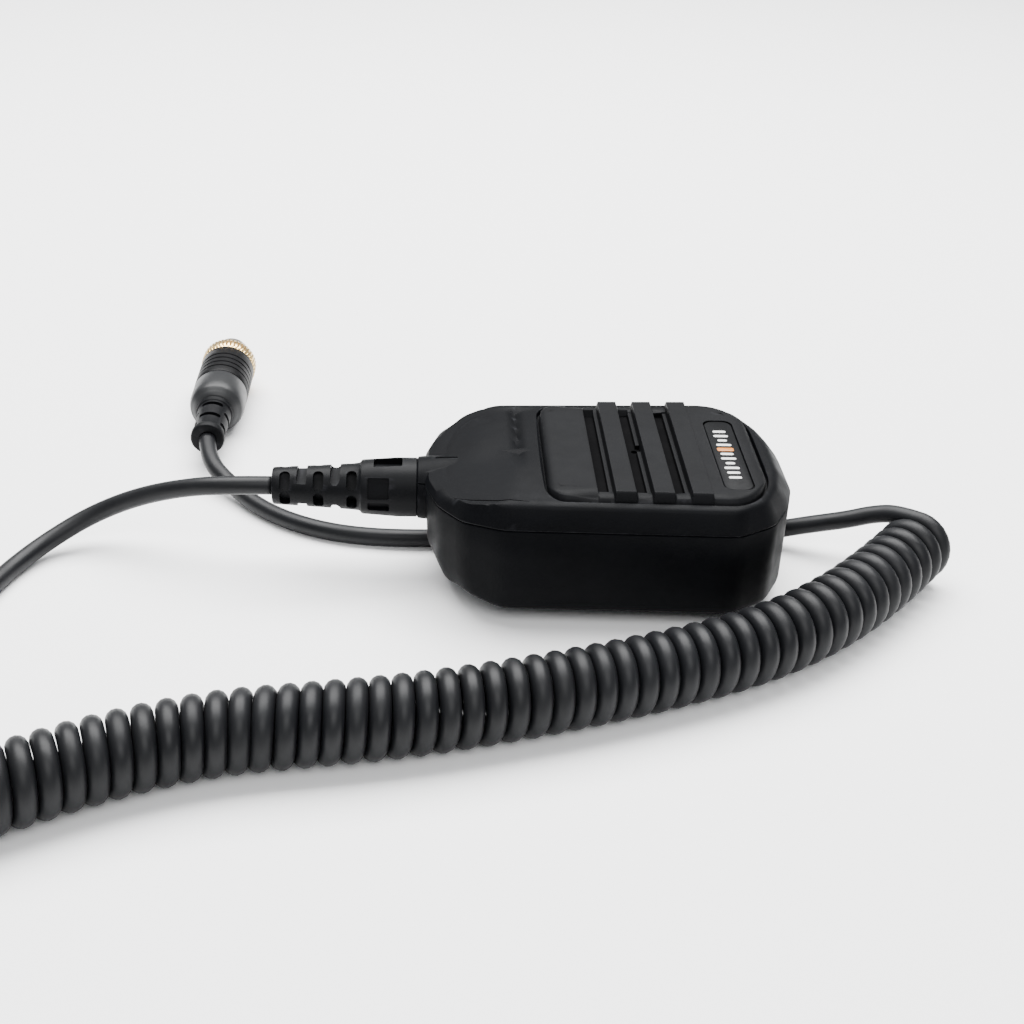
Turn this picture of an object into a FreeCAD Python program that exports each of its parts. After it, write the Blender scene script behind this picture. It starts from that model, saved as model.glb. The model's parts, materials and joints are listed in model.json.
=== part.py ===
import FreeCAD, Part
import math
import os

# Hand microphone for a mobile radio, lying on its back on its hang-up stud, with its curly cord and plug.
# Millimetres. +X runs from the cord end to the head, +Y to the side with the talk button, +Z out of the
# front. The origin is on the surface, under the middle of the microphone without its cord.
# Pieces of the microphone are drawn about the middle of the case's back, and placed() carries them to
# the origin's frame. The cord and the plug are drawn in the origin's frame.

V = FreeCAD.Vector
X_AXIS = V(1, 0, 0)
Y_AXIS = V(0, 1, 0)
Z_AXIS = V(0, 0, 1)

# ---- driving dimensions ----
BODY_LENGTH = 88.0
BODY_WIDTH = 59.6
BODY_DEPTH = 28.2          # back face to the middle of the front
PARTING = 21.3             # height of the joint between the two shells
WALL = 2.0
FLOOR = 2.2                # back wall
FRONT_WALL = 3.0
STUD_HEIGHT = 5.0          # the stud holds the back this far off the surface
NECK_LENGTH = 3.5
NECK_AXIS = 17.0           # height of the cord's axis over the back
TALK_PROUD = 1.4           # how far the talk button stands out of the side
TALK_OVERHANG = 1.2        # how far it reaches past the case's widest line
CORD_DIAMETER = 4.6
COIL_DIAMETER = 17.6
GAP = 0.3                  # between pieces that are put together by hand

HALF_LENGTH = BODY_LENGTH / 2
HALF_WIDTH = BODY_WIDTH / 2
CORD_RADIUS = CORD_DIAMETER / 2
COIL_RADIUS = COIL_DIAMETER / 2
BODY_PLACE = V(NECK_LENGTH / 2, -TALK_OVERHANG / 2, STUD_HEIGHT)

# Half of the case's outline at its widest, from the cord end to the head: x, and y as a positive number.
HALF_OUTLINE = [
    (-HALF_LENGTH, 8.0),
    (-HALF_LENGTH + 3.0, 17.2),
    (-HALF_LENGTH + 8.5, HALF_WIDTH - 5.6),
    (-HALF_LENGTH + 18.0, HALF_WIDTH - 1.8),
    (HALF_LENGTH - 16.0, HALF_WIDTH),
    (HALF_LENGTH - 7.0, HALF_WIDTH - 5.2),
    (HALF_LENGTH - 2.0, 15.5),
    (HALF_LENGTH, 8.0),
]
# Each ring of the case: height, inset from the outline, extra set-back of the cord end and of the head.
CASE_RINGS = [
    (0.0, 1.4, 3.0, 0.0),
    (1.8, 0.0, 2.6, 0.0),
    (7.0, 0.0, 0.0, 0.0),
    (PARTING, 0.0, 0.0, 0.0),
    (26.4, 2.0, 0.3, 1.8),
    (27.3, 3.6, 0.5, 2.4),
    (BODY_DEPTH, 13.0, 0.5, 2.4),
]
CAVITY_RINGS = [
    (FLOOR, 3.2, 3.0, 0.0),
    (5.0, WALL, 1.0, 0.0),
    (7.0, WALL, 0.0, 0.0),
    (PARTING, WALL, 0.0, 0.0),
    (BODY_DEPTH - FRONT_WALL, 4.4, 0.5, 1.0),
]
# The front slopes down to the cord end: it starts here (x, height) and falls by this much for each millimetre.
SLOPE_START = (-24.0, 27.5)
SLOPE_FALL = 0.21
SLOPE_WALL = 1.8

# ---- grille panel ----
PANEL_BOTTOM = 26.2
PANEL_EDGE = 27.1
PANEL_TOP = 28.7
PANEL_MIDDLE = 10.5
HALF_PANEL = [(-15.5, 17.5), (-12.5, 24.0), (27.0, 25.2), (34.0, 20.4), (36.5, 10.0)]
BAR_WIDTH = 5.0
BAR_PITCH = 8.8
FIRST_BAR = 2.0            # x of the middle of the first bar
BAR_COUNT = 3
BAR_TOP = 29.8
BAR_HALF_LENGTH = 22.6     # of its level top
SLOT_WIDTH = 3.6
SLOT_HALF_LENGTH = 20.8
SLOT_FLOOR = 27.4
MIC_X = 6.8
MIC_Y = 1.5
BADGE_X = 28.9
BADGE_Y = -2.6
BADGE_WIDTH = 6.8
BADGE_LENGTH = 35.0
BADGE_THICK = 0.6

# ---- talk button: drawn with y = 0 on the outside of the +Y side wall, then turned square to that wall ----
TALK_X = (-20.0, 22.0)
TALK_Z = (6.5, 17.5)
TALK_LIP = 1.4             # the flange that keeps the button in its window
TALK_BACK = -5.9
FLANGE_Y = (-3.9, -2.6)
POST_TIP = -8.0
SWITCH_X = 1.0
SWITCH_Y = (-16.5, -10.5)
SWITCH_Z = 16.2
PLUNGER_RADIUS = 1.2
PLUNGER_CLEARANCE = 0.05
PLUNGER_START = -13.9

# ---- inside ----
BOARD_BOTTOM = 12.8
BOARD_TOP = 14.0
CASE_SCREWS = [(-31.0, -19.0), (-31.0, 19.0), (34.0, -19.0), (34.0, 19.0)]
BOARD_SCREWS = [(-21.5, -17.0), (-21.5, 17.0), (25.0, -17.0), (25.0, 17.0)]
SCREW_LEDGE = 8.0
CLAMP_X = (-35.0, -31.0)
INNER_END = -29.0          # the cord's jacket ends here inside the case

# ---- strain relief ----
RELIEF_START = -HALF_LENGTH - NECK_LENGTH
RELIEF_END = RELIEF_START - 33.0
RELIEF_NECK_RADIUS = 4.5
BARREL_RADIUS = 7.2
SLOT_PITCH = 8.0

# ---- plug: lies along +Y, its cord end nearest the front ----
PLUG_X = -102.2
PLUG_Y = 50.0
BOOT_LENGTH = 17.0
CONE_LENGTH = 12.0
SLEEVE_LENGTH = 17.0
RING_LENGTH = 5.6
SHOULDER_LENGTH = 5.5      # the part of the nose that the ring turns on
NOSE_LENGTH = 6.2
RING_RADIUS = 8.0
SLEEVE_RADIUS = 7.8
CONE_RADIUS = 7.6
BOOT_RADIUS = 4.6
SHOULDER_RADIUS = 5.5
NOSE_RADIUS = 5.2
NOSE_BORE = 4.5
RING_CLEARANCE = 0.08

# ---- the cord's route: points chosen one by one, each at the middle of the cord ----
FLOOR_Z = CORD_RADIUS
AXIS_Z = STUD_HEIGHT + NECK_AXIS
LEAD_POINTS = [
    (RELIEF_END + BODY_PLACE.x, BODY_PLACE.y, AXIS_Z),
    (-91.0, BODY_PLACE.y, AXIS_Z),
    (-102.5, 3.4, 18.6),
    (-114.0, 7.4, 13.6),
    (-125.0, 8.2, 8.2),
    (-134.0, 3.4, 4.2),
    (-140.6, -5.6, 2.4),
    (-144.6, -17.0, FLOOR_Z),
    (-148.6, -31.0, FLOOR_Z),
    (-153.6, -46.0, FLOOR_Z),
    (-158.0, -62.0, FLOOR_Z),
    (-159.4, -76.0, FLOOR_Z),
    (-155.6, -89.0, FLOOR_Z),
    (-149.3, -100.1, FLOOR_Z),
    (-145.3, -108.2, FLOOR_Z),
]
COIL_POINTS = [
    (-143.4, -107.2, COIL_RADIUS),
    (-122.0, -96.0, COIL_RADIUS),
    (-104.5, -86.5, COIL_RADIUS),
    (-84.0, -79.0, COIL_RADIUS),
    (-64.5, -76.2, COIL_RADIUS),
    (-44.7, -73.2, COIL_RADIUS),
    (-21.4, -67.4, COIL_RADIUS),
    (3.0, -59.8, COIL_RADIUS),
    (28.0, -50.2, COIL_RADIUS),
    (48.0, -38.2, COIL_RADIUS),
    (67.0, -20.8, COIL_RADIUS),
    (80.3, -4.8, COIL_RADIUS),
]
TAIL_POINTS = [
    (81.6, -3.2, 15.3),
    (76.4, 1.0, 15.3),
    (71.0, 3.7, 13.4),
    (65.2, 5.1, 10.9),
    (58.7, 7.7, 8.2),
    (52.0, 9.7, 5.7),
    (45.0, 12.2, 2.5),
    (37.0, 13.8, FLOOR_Z),
    (20.0, 13.2, FLOOR_Z),
    (2.0, 11.4, FLOOR_Z),
    (-17.0, 9.4, FLOOR_Z),
    (-36.0, 8.2, FLOOR_Z),
    (-52.0, 8.0, FLOOR_Z),
    (-65.0, 10.2, FLOOR_Z),
    (-76.6, 15.6, FLOOR_Z),
    (-86.4, 23.6, 2.5),
    (-94.2, 32.6, 4.0),
    (PLUG_X + 1.6, 40.0, 6.8),
    (PLUG_X, PLUG_Y, RING_RADIUS),
]


# ---- small helpers ----
def cylinder(radius, length, start, direction=Z_AXIS):
    return Part.makeCylinder(radius, length, V(*start), direction)


def box(x, y, z):
    size = [high - low for low, high in (x, y, z)]
    return Part.makeBox(*size, V(x[0], y[0], z[0]))


def ring(outer, inner, length, start, direction=Z_AXIS):
    return cylinder(outer, length, start, direction).cut(cylinder(inner, length, start, direction))


def mirrored(half):
    """The closed outline that a half outline and its mirror image make."""
    return [(x, -y) for x, y in half] + [(x, y) for x, y in reversed(half)]


def inset(points, distance):
    """A convex outline, given anticlockwise, moved inwards by a distance."""
    moved = []
    count = len(points)
    for i in range(count):
        before, here, after = (V(*points[(i + k) % count], 0) for k in (-1, 0, 1))
        first = (here - before).normalize()
        second = (after - here).normalize()
        normal_1 = V(-first.y, first.x, 0)
        normal_2 = V(-second.y, second.x, 0)
        reach = distance / (1 + normal_1.dot(normal_2))
        corner = here + (normal_1 + normal_2) * reach
        moved.append((corner.x, corner.y))
    return moved


def outline_wire(points, z):
    return Part.makePolygon([V(x, y, z) for x, y in points + points[:1]])


def prism(points, low, high):
    return Part.Face(outline_wire(points, low)).extrude(V(0, 0, high - low))


def stack(rings):
    """A solid through closed outlines of the same number of points: (points, height) each."""
    return Part.makeLoft([outline_wire(points, z) for points, z in rings], True, True)


def case_ring(z, distance, cord_back, head_back):
    """The case's outline at one height, with its cord end and its head pushed in."""
    points = []
    cord_start, head_start = -25.0, 30.0
    for x, y in inset(mirrored(HALF_OUTLINE), distance):
        x += cord_back * max(0.0, cord_start - x) / (HALF_LENGTH + cord_start)
        x -= head_back * max(0.0, x - head_start) / (HALF_LENGTH - head_start)
        points.append((x, y))
    return points, z


def turned(profile, origin, direction):
    """A solid of revolution: profile is (distance along the axis, radius), closed down to the axis."""
    side = Z_AXIS if abs(direction.z) < 0.5 else X_AXIS
    points = [(profile[0][0], 0.0)] + profile + [(profile[-1][0], 0.0)]
    corners = [V(*origin) + direction * along + side * radius for along, radius in points]
    return Part.Face(Part.makePolygon(corners + corners[:1])).revolve(V(*origin), direction, 360)


def fillet_along(shape, direction, radius):
    """Round the straight edges that run along a direction."""
    edges = [e for e in shape.Edges if abs(e.tangentAt(e.FirstParameter).dot(direction)) > 0.99]
    return shape.makeFillet(radius, edges)


def screw(head_radius, head_height, shaft_radius, shaft_length, seat, direction):
    """A screw whose head bears at seat and whose shaft runs along direction; with a cross recess."""
    head = cylinder(head_radius, head_height, V(*seat) - direction * head_height, direction)
    shaft = cylinder(shaft_radius, shaft_length, seat, direction)
    middle = V(*seat) - direction * head_height
    arm = head_radius * 0.6
    slit = head_radius * 0.13
    cross = []
    for wide, narrow in ((arm, slit), (slit, arm)):
        cross.append(box((middle.x - wide, middle.x + wide), (middle.y - narrow, middle.y + narrow),
                         (middle.z - head_height / 2, middle.z + head_height / 2)))
    return head.fuse(shaft).cut(cross[0].fuse(cross[1]))


def route(name, points, radius):
    """A tube along straight runs joined by the largest tangent arcs that both runs allow."""
    corners = [V(*p) for p in points]
    edges = []
    radii = []
    start = corners[0]
    for before, here, after in zip(corners, corners[1:], corners[2:]):
        run_in = here - before
        run_out = after - here
        tangent = 0.45 * min(run_in.Length, run_out.Length)
        turn = run_in.getAngle(run_out)
        radii.append(tangent / math.tan(turn / 2))
        into = V(run_in).normalize()
        out = V(run_out).normalize()
        first = here - into * tangent
        last = here + out * tangent
        to_centre = (out - into).normalize()
        sagitta = radii[-1] / math.cos(turn / 2) - radii[-1]
        edges.append(Part.LineSegment(start, first).toShape())
        edges.append(Part.Arc(first, here + to_centre * sagitta, last).toShape())
        start = last
    edges.append(Part.LineSegment(start, corners[-1]).toShape())
    spine = Part.Wire(edges)
    direction = V(corners[1] - corners[0]).normalize()
    section = Part.Wire(Part.makeCircle(radius, corners[0], direction))
    tube = spine.makePipeShell([section], True, False)
    ratio = tube.Volume / (math.pi * radius ** 2 * spine.Length)
    print(f"{name}: length {spine.Length:.1f}, tightest radius {min(radii):.1f}, volume ratio {ratio:.4f}")
    return tube


# ---- case ----
def neck(radius, start=RELIEF_START, end=-HALF_LENGTH + 6.0):
    return cylinder(radius, end - start, (start, 0, NECK_AXIS), X_AXIS)


def gasket():
    outline = mirrored(HALF_OUTLINE)
    low, high = PARTING - 0.5, PARTING + 0.5
    seal = prism(inset(outline, 0.7), low, high).cut(prism(inset(outline, 1.3), low, high))
    return seal.cut(neck(RELIEF_NECK_RADIUS + 0.6))


def above_slope(depth):
    """Everything above the front's slope, or above a plane some depth under it."""
    x, z = SLOPE_START
    reach = 36.0
    corners = [(x, z - depth), (x - reach, z - depth - SLOPE_FALL * reach), (x - reach, 40.0), (x, 40.0)]
    wire = Part.makePolygon([V(a, -40, b) for a, b in corners + corners[:1]])
    return Part.Face(wire).extrude(V(0, 80, 0))


def whole_case():
    outside = stack([case_ring(*ring_) for ring_ in CASE_RINGS]).cut(above_slope(0))
    inside = stack([case_ring(*ring_) for ring_ in CAVITY_RINGS]).cut(above_slope(SLOPE_WALL))
    case = outside.fuse(neck(BARREL_RADIUS + 0.2)).cut(inside)
    case = case.cut(neck(RELIEF_NECK_RADIUS + 0.1, RELIEF_START - 1, -36.0))
    return case.cut(gasket())


def at_side(shape):
    """Turn a piece square to the +Y side wall, which spreads a little towards the head, and move it there."""
    first, last = HALF_OUTLINE[3], HALF_OUTLINE[4]
    slope = (last[1] - first[1]) / (last[0] - first[0])
    moved = shape.copy()
    moved.rotate(V(0, 0, 0), Z_AXIS, math.degrees(math.atan(slope)))
    moved.translate(V(0, first[1] - first[0] * slope, 0))
    return moved


def talk_window(grow, y):
    """The talk button's outline, grown by a margin, between two y values."""
    solid = box((TALK_X[0] - grow, TALK_X[1] + grow), y, (TALK_Z[0] - grow, TALK_Z[1] + grow))
    return fillet_along(solid, Y_AXIS, 3.0)


def rear_shell(case):
    shell = case.common(box((-60, 60), (-40, 40), (-1, PARTING)))
    for x, y in CASE_SCREWS:
        shell = shell.fuse(cylinder(3.6, PARTING - FLOOR, (x, y, FLOOR - 0.2)))
    for x, y in BOARD_SCREWS:
        shell = shell.fuse(cylinder(2.6, BOARD_BOTTOM - FLOOR + 0.2, (x, y, FLOOR - 0.2)))
    shell = shell.fuse(box((CLAMP_X[0] - 0.5, CLAMP_X[1] + 0.5), (-7.0, 7.0),
                           (FLOOR - 0.2, NECK_AXIS - CORD_RADIUS)))
    shell = shell.fuse(cylinder(5.5, 3.0, (0, 0, FLOOR - 0.2)))
    for x, y in CASE_SCREWS:
        shell = shell.cut(cylinder(2.8, SCREW_LEDGE + 1, (x, y, -1)))
        shell = shell.cut(cylinder(1.5, BODY_DEPTH, (x, y, -1)))
    for x, y in BOARD_SCREWS:
        shell = shell.cut(cylinder(0.9, 6.0, (x, y, BOARD_BOTTOM - 6.0)))
    for y in (-4.9, 4.9):
        shell = shell.cut(cylinder(0.8, 6.0, (sum(CLAMP_X) / 2, y, NECK_AXIS - CORD_RADIUS - 6.0)))
    shell = shell.cut(cylinder(1.6, 10, (0, 0, -1)))
    shell = shell.cut(cylinder(3.2, 3.4, (0, 0, FLOOR)))
    shell = shell.cut(at_side(talk_window(GAP, (-WALL - 3.0, 2.0))))
    return shell.removeSplitter()


def front_shell(case):
    shell = case.common(box((-60, 60), (-40, 40), (PARTING, 40)))
    top = BODY_DEPTH - FRONT_WALL
    for x, y in CASE_SCREWS:
        shell = shell.fuse(cylinder(3.2, top - PARTING + 0.2, (x, y, PARTING)))
        shell = shell.cut(cylinder(1.3, top - PARTING - 0.4, (x, y, PARTING - 0.5)))
    shell = shell.fuse(ring(6.0, 4.7, top - 21.5 + 0.2, (MIC_X, MIC_Y, 21.5)))
    pocket = prism(inset(mirrored(HALF_PANEL), -0.25), PANEL_BOTTOM, BODY_DEPTH + 2)
    shell = shell.cut(pocket)
    return shell.cut(cylinder(0.9, 8, (MIC_X, MIC_Y, top - 1))).removeSplitter()


def panel_ring(z, along, across):
    points = [(PANEL_MIDDLE + (x - PANEL_MIDDLE) * along, y * across) for x, y in mirrored(HALF_PANEL)]
    return points, z


def grille_bar(x):
    """One raised bar across the panel, which slopes down over both side edges."""
    (start, narrow), (end, wide) = HALF_PANEL[1:3]
    reach = narrow + (wide - narrow) * (x - BAR_WIDTH / 2 - start) / (end - start)
    half = [(reach, PANEL_BOTTOM), (reach, PANEL_EDGE + 0.6), (BAR_HALF_LENGTH, BAR_TOP)]
    points = [(-y, z) for y, z in half] + [(y, z) for y, z in reversed(half)]
    corners = [V(x - BAR_WIDTH / 2, y, z) for y, z in points]
    face = Part.Face(Part.makePolygon(corners + corners[:1]))
    return face.extrude(V(BAR_WIDTH, 0, 0))


def badge_outline(grow, low, high):
    half_x = BADGE_WIDTH / 2 + grow
    half_y = BADGE_LENGTH / 2 + grow
    solid = box((BADGE_X - half_x, BADGE_X + half_x), (BADGE_Y - half_y, BADGE_Y + half_y), (low, high))
    return fillet_along(solid, Z_AXIS, 2.2)


def grille_panel():
    panel = stack([panel_ring(PANEL_BOTTOM, 1, 1), panel_ring(PANEL_EDGE, 1, 1),
                   panel_ring(PANEL_TOP, 0.965, 0.93)])
    for i in range(BAR_COUNT):
        middle = FIRST_BAR + i * BAR_PITCH
        panel = panel.fuse(grille_bar(middle))
    for i in range(BAR_COUNT):
        end = FIRST_BAR + i * BAR_PITCH - BAR_WIDTH / 2
        panel = panel.cut(box((end - SLOT_WIDTH, end), (-SLOT_HALF_LENGTH, SLOT_HALF_LENGTH),
                              (SLOT_FLOOR, BAR_TOP)))
    panel = panel.cut(badge_outline(0.1, PANEL_TOP - BADGE_THICK, BAR_TOP))
    return panel.cut(cylinder(0.8, 8, (MIC_X, MIC_Y, PANEL_BOTTOM - 2))).removeSplitter()


def badge_plate():
    return badge_outline(0.0, PANEL_TOP - BADGE_THICK, PANEL_TOP)


def case_screws():
    return [screw(2.5, 1.8, 1.3, BODY_DEPTH - FRONT_WALL - SCREW_LEDGE - 0.6, (x, y, SCREW_LEDGE), Z_AXIS)
            for x, y in CASE_SCREWS]


# ---- hang-up stud ----
def hanger_stud():
    profile = [(-STUD_HEIGHT, 7.0), (-STUD_HEIGHT + 0.5, 7.5), (-3.4, 7.5), (-3.0, 7.0), (-3.0, 4.6),
               (-1.0, 4.6), (-1.0, 6.5), (0.0, 6.5)]
    stud = turned(profile, (0, 0, 0), Z_AXIS)
    stud = stud.cut(cylinder(3.0, 2.2, (0, 0, -STUD_HEIGHT)))
    return stud.cut(cylinder(1.6, 12, (0, 0, -STUD_HEIGHT)))


def stud_screw():
    seat = -STUD_HEIGHT + 2.2
    return screw(2.8, 1.6, 1.5, -seat + 5.2, (0, 0, seat), Z_AXIS)


def stud_insert():
    return ring(3.2, 1.5, 2.8, (0, 0, FLOOR))


# ---- talk button and its switch ----
def talk_button():
    cap = talk_window(0.0, (TALK_BACK, TALK_PROUD))
    outer_edges = [e for e in cap.Edges if e.BoundBox.YMin > TALK_PROUD - 0.01]
    cap = cap.makeFillet(0.8, outer_edges)
    flange = talk_window(TALK_LIP, FLANGE_Y)
    post = box((SWITCH_X - 2.0, SWITCH_X + 2.0), (POST_TIP, FLANGE_Y[1]), (BOARD_TOP + 0.4, SWITCH_Z + 1.3))
    return at_side(cap.fuse(flange).fuse(post).removeSplitter())


def talk_seal():
    low = FLANGE_Y[1] + 0.05
    high = -WALL - 0.02
    return at_side(talk_window(TALK_LIP, (low, high)).cut(talk_window(GAP, (low - 1, high + 1))))


def talk_switch():
    body = box((SWITCH_X - 4.0, SWITCH_X + 4.0), SWITCH_Y, (BOARD_TOP, SWITCH_Z + 2.6))
    bore_start = SWITCH_Y[0] + 0.8
    bore = cylinder(PLUNGER_RADIUS + PLUNGER_CLEARANCE, 6.0, (SWITCH_X, bore_start, SWITCH_Z), Y_AXIS)
    return at_side(body.cut(bore))


def talk_plunger():
    length = POST_TIP - PLUNGER_START
    return at_side(cylinder(PLUNGER_RADIUS, length, (SWITCH_X, PLUNGER_START, SWITCH_Z), Y_AXIS))


# ---- inside the case ----
def main_board():
    board = box((-25.5, 29.0), (-21.5, 20.5), (BOARD_BOTTOM, BOARD_TOP))
    for x, y in BOARD_SCREWS:
        board = board.cut(cylinder(1.1, 4, (x, y, BOARD_BOTTOM - 1)))
    return board


def board_screws():
    return [screw(1.8, 1.2, 0.9, 5.0, (x, y, BOARD_TOP), V(0, 0, -1)) for x, y in BOARD_SCREWS]


def board_parts():
    """The chips, capacitors and small blocks soldered to the board's front."""
    chips = [((-8, 0), (-14, -7), 1.6), ((12, 19), (-13, -6), 1.4), ((-8, -3), (8, 12), 1.2)]
    parts = [box(x, y, (BOARD_TOP, BOARD_TOP + height)) for x, y, height in chips]
    cans = [(20.0, 2.0, 2.5, 5.5), (20.0, 9.0, 2.0, 4.6), (5.0, -10.5, 1.6, 4.0)]
    parts += [cylinder(radius, height, (x, y, BOARD_TOP)) for x, y, radius, height in cans]
    for i in range(5):
        x = -15.0 + 3.0 * i
        parts.append(box((x, x + 1.0), (-18.6, -16.6), (BOARD_TOP, BOARD_TOP + 0.7)))
    return parts


def mic_capsule():
    return cylinder(3.0, 4.2, (MIC_X, MIC_Y, 20.4))


def mic_boot():
    boot = ring(4.65, 3.0, 5.0, (MIC_X, MIC_Y, 19.7))
    return boot.fuse(ring(3.2, 1.6, 0.7, (MIC_X, MIC_Y, 19.7)))


def mic_felt():
    return cylinder(2.8, 0.5, (MIC_X, MIC_Y, 24.65))


def mic_leads():
    return [cylinder(0.3, 20.4 - BOARD_TOP, (MIC_X + x, MIC_Y, BOARD_TOP)) for x in (-1.1, 1.1)]


def cord_inner_end():
    start = -37.5
    return cylinder(CORD_RADIUS, INNER_END - start, (start, 0, NECK_AXIS), X_AXIS)


def cord_clamp():
    low = NECK_AXIS - CORD_RADIUS
    clamp = box(CLAMP_X, (-6.6, 6.6), (low + 0.02, NECK_AXIS + CORD_RADIUS + 1.4))
    clamp = clamp.cut(cylinder(CORD_RADIUS, 8, (CLAMP_X[0] - 2, 0, NECK_AXIS), X_AXIS))
    clamp = clamp.cut(box((-40, -28), (-CORD_RADIUS, CORD_RADIUS), (low - 1, NECK_AXIS)))
    for y in (-4.9, 4.9):
        clamp = clamp.cut(cylinder(0.9, 20, (sum(CLAMP_X) / 2, y, low - 5)))
    return clamp


def clamp_screws():
    top = NECK_AXIS + CORD_RADIUS + 1.4
    return [screw(1.5, 1.0, 0.8, 8.0, (sum(CLAMP_X) / 2, y, top), V(0, 0, -1)) for y in (-4.9, 4.9)]


WIRE_COUNT = 5
WIRE_RADIUS = 0.42
HEADER_X = -21.0


def inner_wires():
    wires = []
    for i in range(WIRE_COUNT):
        place = i - (WIRE_COUNT - 1) / 2
        start = V(INNER_END, place * 0.8, NECK_AXIS)
        end = V(HEADER_X, place * 2.0, NECK_AXIS + 0.4)
        wires.append(cylinder(WIRE_RADIUS * 0.8, (end - start).Length, start, end - start))
    return wires


def wire_housing():
    return box((HEADER_X, HEADER_X + 4.0), (-6.0, 6.0), (BOARD_TOP + 0.6, BOARD_TOP + 4.4))


def board_header():
    return box((HEADER_X + 4.0, HEADER_X + 7.5), (-6.6, 6.6), (BOARD_TOP, BOARD_TOP + 5.0))


# ---- strain relief ----
def strain_relief():
    start = RELIEF_START
    flange = RELIEF_NECK_RADIUS + 0.7
    profile = [(-37.5, flange), (-39.5, flange), (-39.5, RELIEF_NECK_RADIUS), (start, RELIEF_NECK_RADIUS),
               (start, BARREL_RADIUS), (start - 10.6, BARREL_RADIUS - 0.6), (start - 11.8, 5.8),
               (RELIEF_END, 4.5)]
    relief = turned(profile, (0, 0, NECK_AXIS), X_AXIS)
    web = CORD_RADIUS + 0.7
    for i in range(3):
        x = start - 13.8 - SLOT_PITCH * i
        for side in (-1, 1):
            y = sorted((side * web, side * 9.0))
            slot = box((x - 1.0, x + 1.0), y, (NECK_AXIS - 3.4, NECK_AXIS + 3.4))
            relief = relief.cut(fillet_along(slot, Y_AXIS, 0.95))
    for i in range(2):
        x = start - 13.8 - SLOT_PITCH * (i + 0.5)
        for side in (-1, 1):
            z = sorted((NECK_AXIS + side * web, NECK_AXIS + side * 9.0))
            notch = box((x - 1.1, x + 1.1), (-3.6, 3.6), z)
            relief = relief.cut(fillet_along(notch, Z_AXIS, 1.05))
    return relief


# ---- plug ----
def plug_turned(profile):
    return turned(profile, (PLUG_X, PLUG_Y, RING_RADIUS), Y_AXIS)


def plug_cylinder(radius, along, length):
    return cylinder(radius, length, (PLUG_X, PLUG_Y + along, RING_RADIUS), Y_AXIS)


CONE_START = BOOT_LENGTH
SLEEVE_START = CONE_START + CONE_LENGTH
RING_START = SLEEVE_START + SLEEVE_LENGTH
NOSE_START = RING_START + RING_LENGTH + 0.3
NOSE_END = NOSE_START + NOSE_LENGTH


def plug_boot():
    boot = plug_turned([(0, BOOT_RADIUS - 0.5), (0.6, BOOT_RADIUS), (BOOT_LENGTH, BOOT_RADIUS + 0.4)])
    web = CORD_RADIUS + 0.6
    for i in range(4):
        y = PLUG_Y + 3.6 + 3.4 * i
        for side in (-1, 1):
            upright = i % 2
            across = sorted((side * web, side * 9.0))
            x = (PLUG_X - 3.0, PLUG_X + 3.0) if upright else [PLUG_X + a for a in across]
            z = [RING_RADIUS + a for a in across] if upright else (RING_RADIUS - 3.0, RING_RADIUS + 3.0)
            boot = boot.cut(box(x, (y - 0.8, y + 0.8), z))
    return boot


def plug_body():
    profile = [(CONE_START, BOOT_RADIUS + 0.9), (CONE_START + 1.6, BOOT_RADIUS + 2.1),
               (CONE_START + 5.2, CONE_RADIUS), (SLEEVE_START, CONE_RADIUS)]
    return plug_turned(profile)


def plug_sleeve():
    sleeve = plug_cylinder(SLEEVE_RADIUS, SLEEVE_START, SLEEVE_LENGTH)
    for i in range(4):
        groove = SLEEVE_START + 3.0 + 2.4 * i
        outside = plug_cylinder(SLEEVE_RADIUS + 1, groove, 1.0)
        sleeve = sleeve.cut(outside.cut(plug_cylinder(SLEEVE_RADIUS - 0.6, groove, 1.0)))
    return sleeve


def plug_ring():
    """The coupling ring, with fine straight knurling round its rim."""
    gap = 0.2
    length = RING_LENGTH - 2 * gap
    start = RING_START + gap
    outside = plug_cylinder(RING_RADIUS, start, length)
    teeth = 36
    for i in range(teeth):
        angle = 2 * math.pi * (i + 0.5) / teeth
        x = PLUG_X + (RING_RADIUS + 0.25) * math.cos(angle)
        z = RING_RADIUS + (RING_RADIUS + 0.25) * math.sin(angle)
        outside = outside.cut(cylinder(0.5, length, (x, PLUG_Y + start, z), Y_AXIS))
    return outside.cut(plug_cylinder(SHOULDER_RADIUS + RING_CLEARANCE, start, length))


def plug_nose():
    """The shoulder that carries the ring, a relief groove, and the nose that enters the socket."""
    groove_start = RING_START + SHOULDER_LENGTH
    tube = plug_cylinder(SHOULDER_RADIUS, RING_START, SHOULDER_LENGTH)
    tube = tube.fuse(plug_cylinder(NOSE_RADIUS - 0.25, groove_start, NOSE_START - groove_start))
    tube = tube.fuse(plug_cylinder(NOSE_RADIUS, NOSE_START, NOSE_LENGTH))
    return tube.cut(plug_cylinder(NOSE_BORE, RING_START, NOSE_END - RING_START))


def plug_insert():
    insert = plug_cylinder(NOSE_BORE, RING_START, 7.0)
    for x, z in pin_places():
        insert = insert.cut(cylinder(0.5, 7.0, (x, PLUG_Y + RING_START, z), Y_AXIS))
    return insert


def pin_places():
    count = 6
    for i in range(count):
        angle = 2 * math.pi * i / count
        yield PLUG_X + 2.8 * math.cos(angle), RING_RADIUS + 2.8 * math.sin(angle)


def plug_pins():
    return [cylinder(0.5, 11.0, (x, PLUG_Y + RING_START, z), Y_AXIS) for x, z in pin_places()]


# ---- write every piece ----
def placed(shape):
    moved = shape.copy()
    moved.translate(BODY_PLACE)
    return moved


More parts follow.
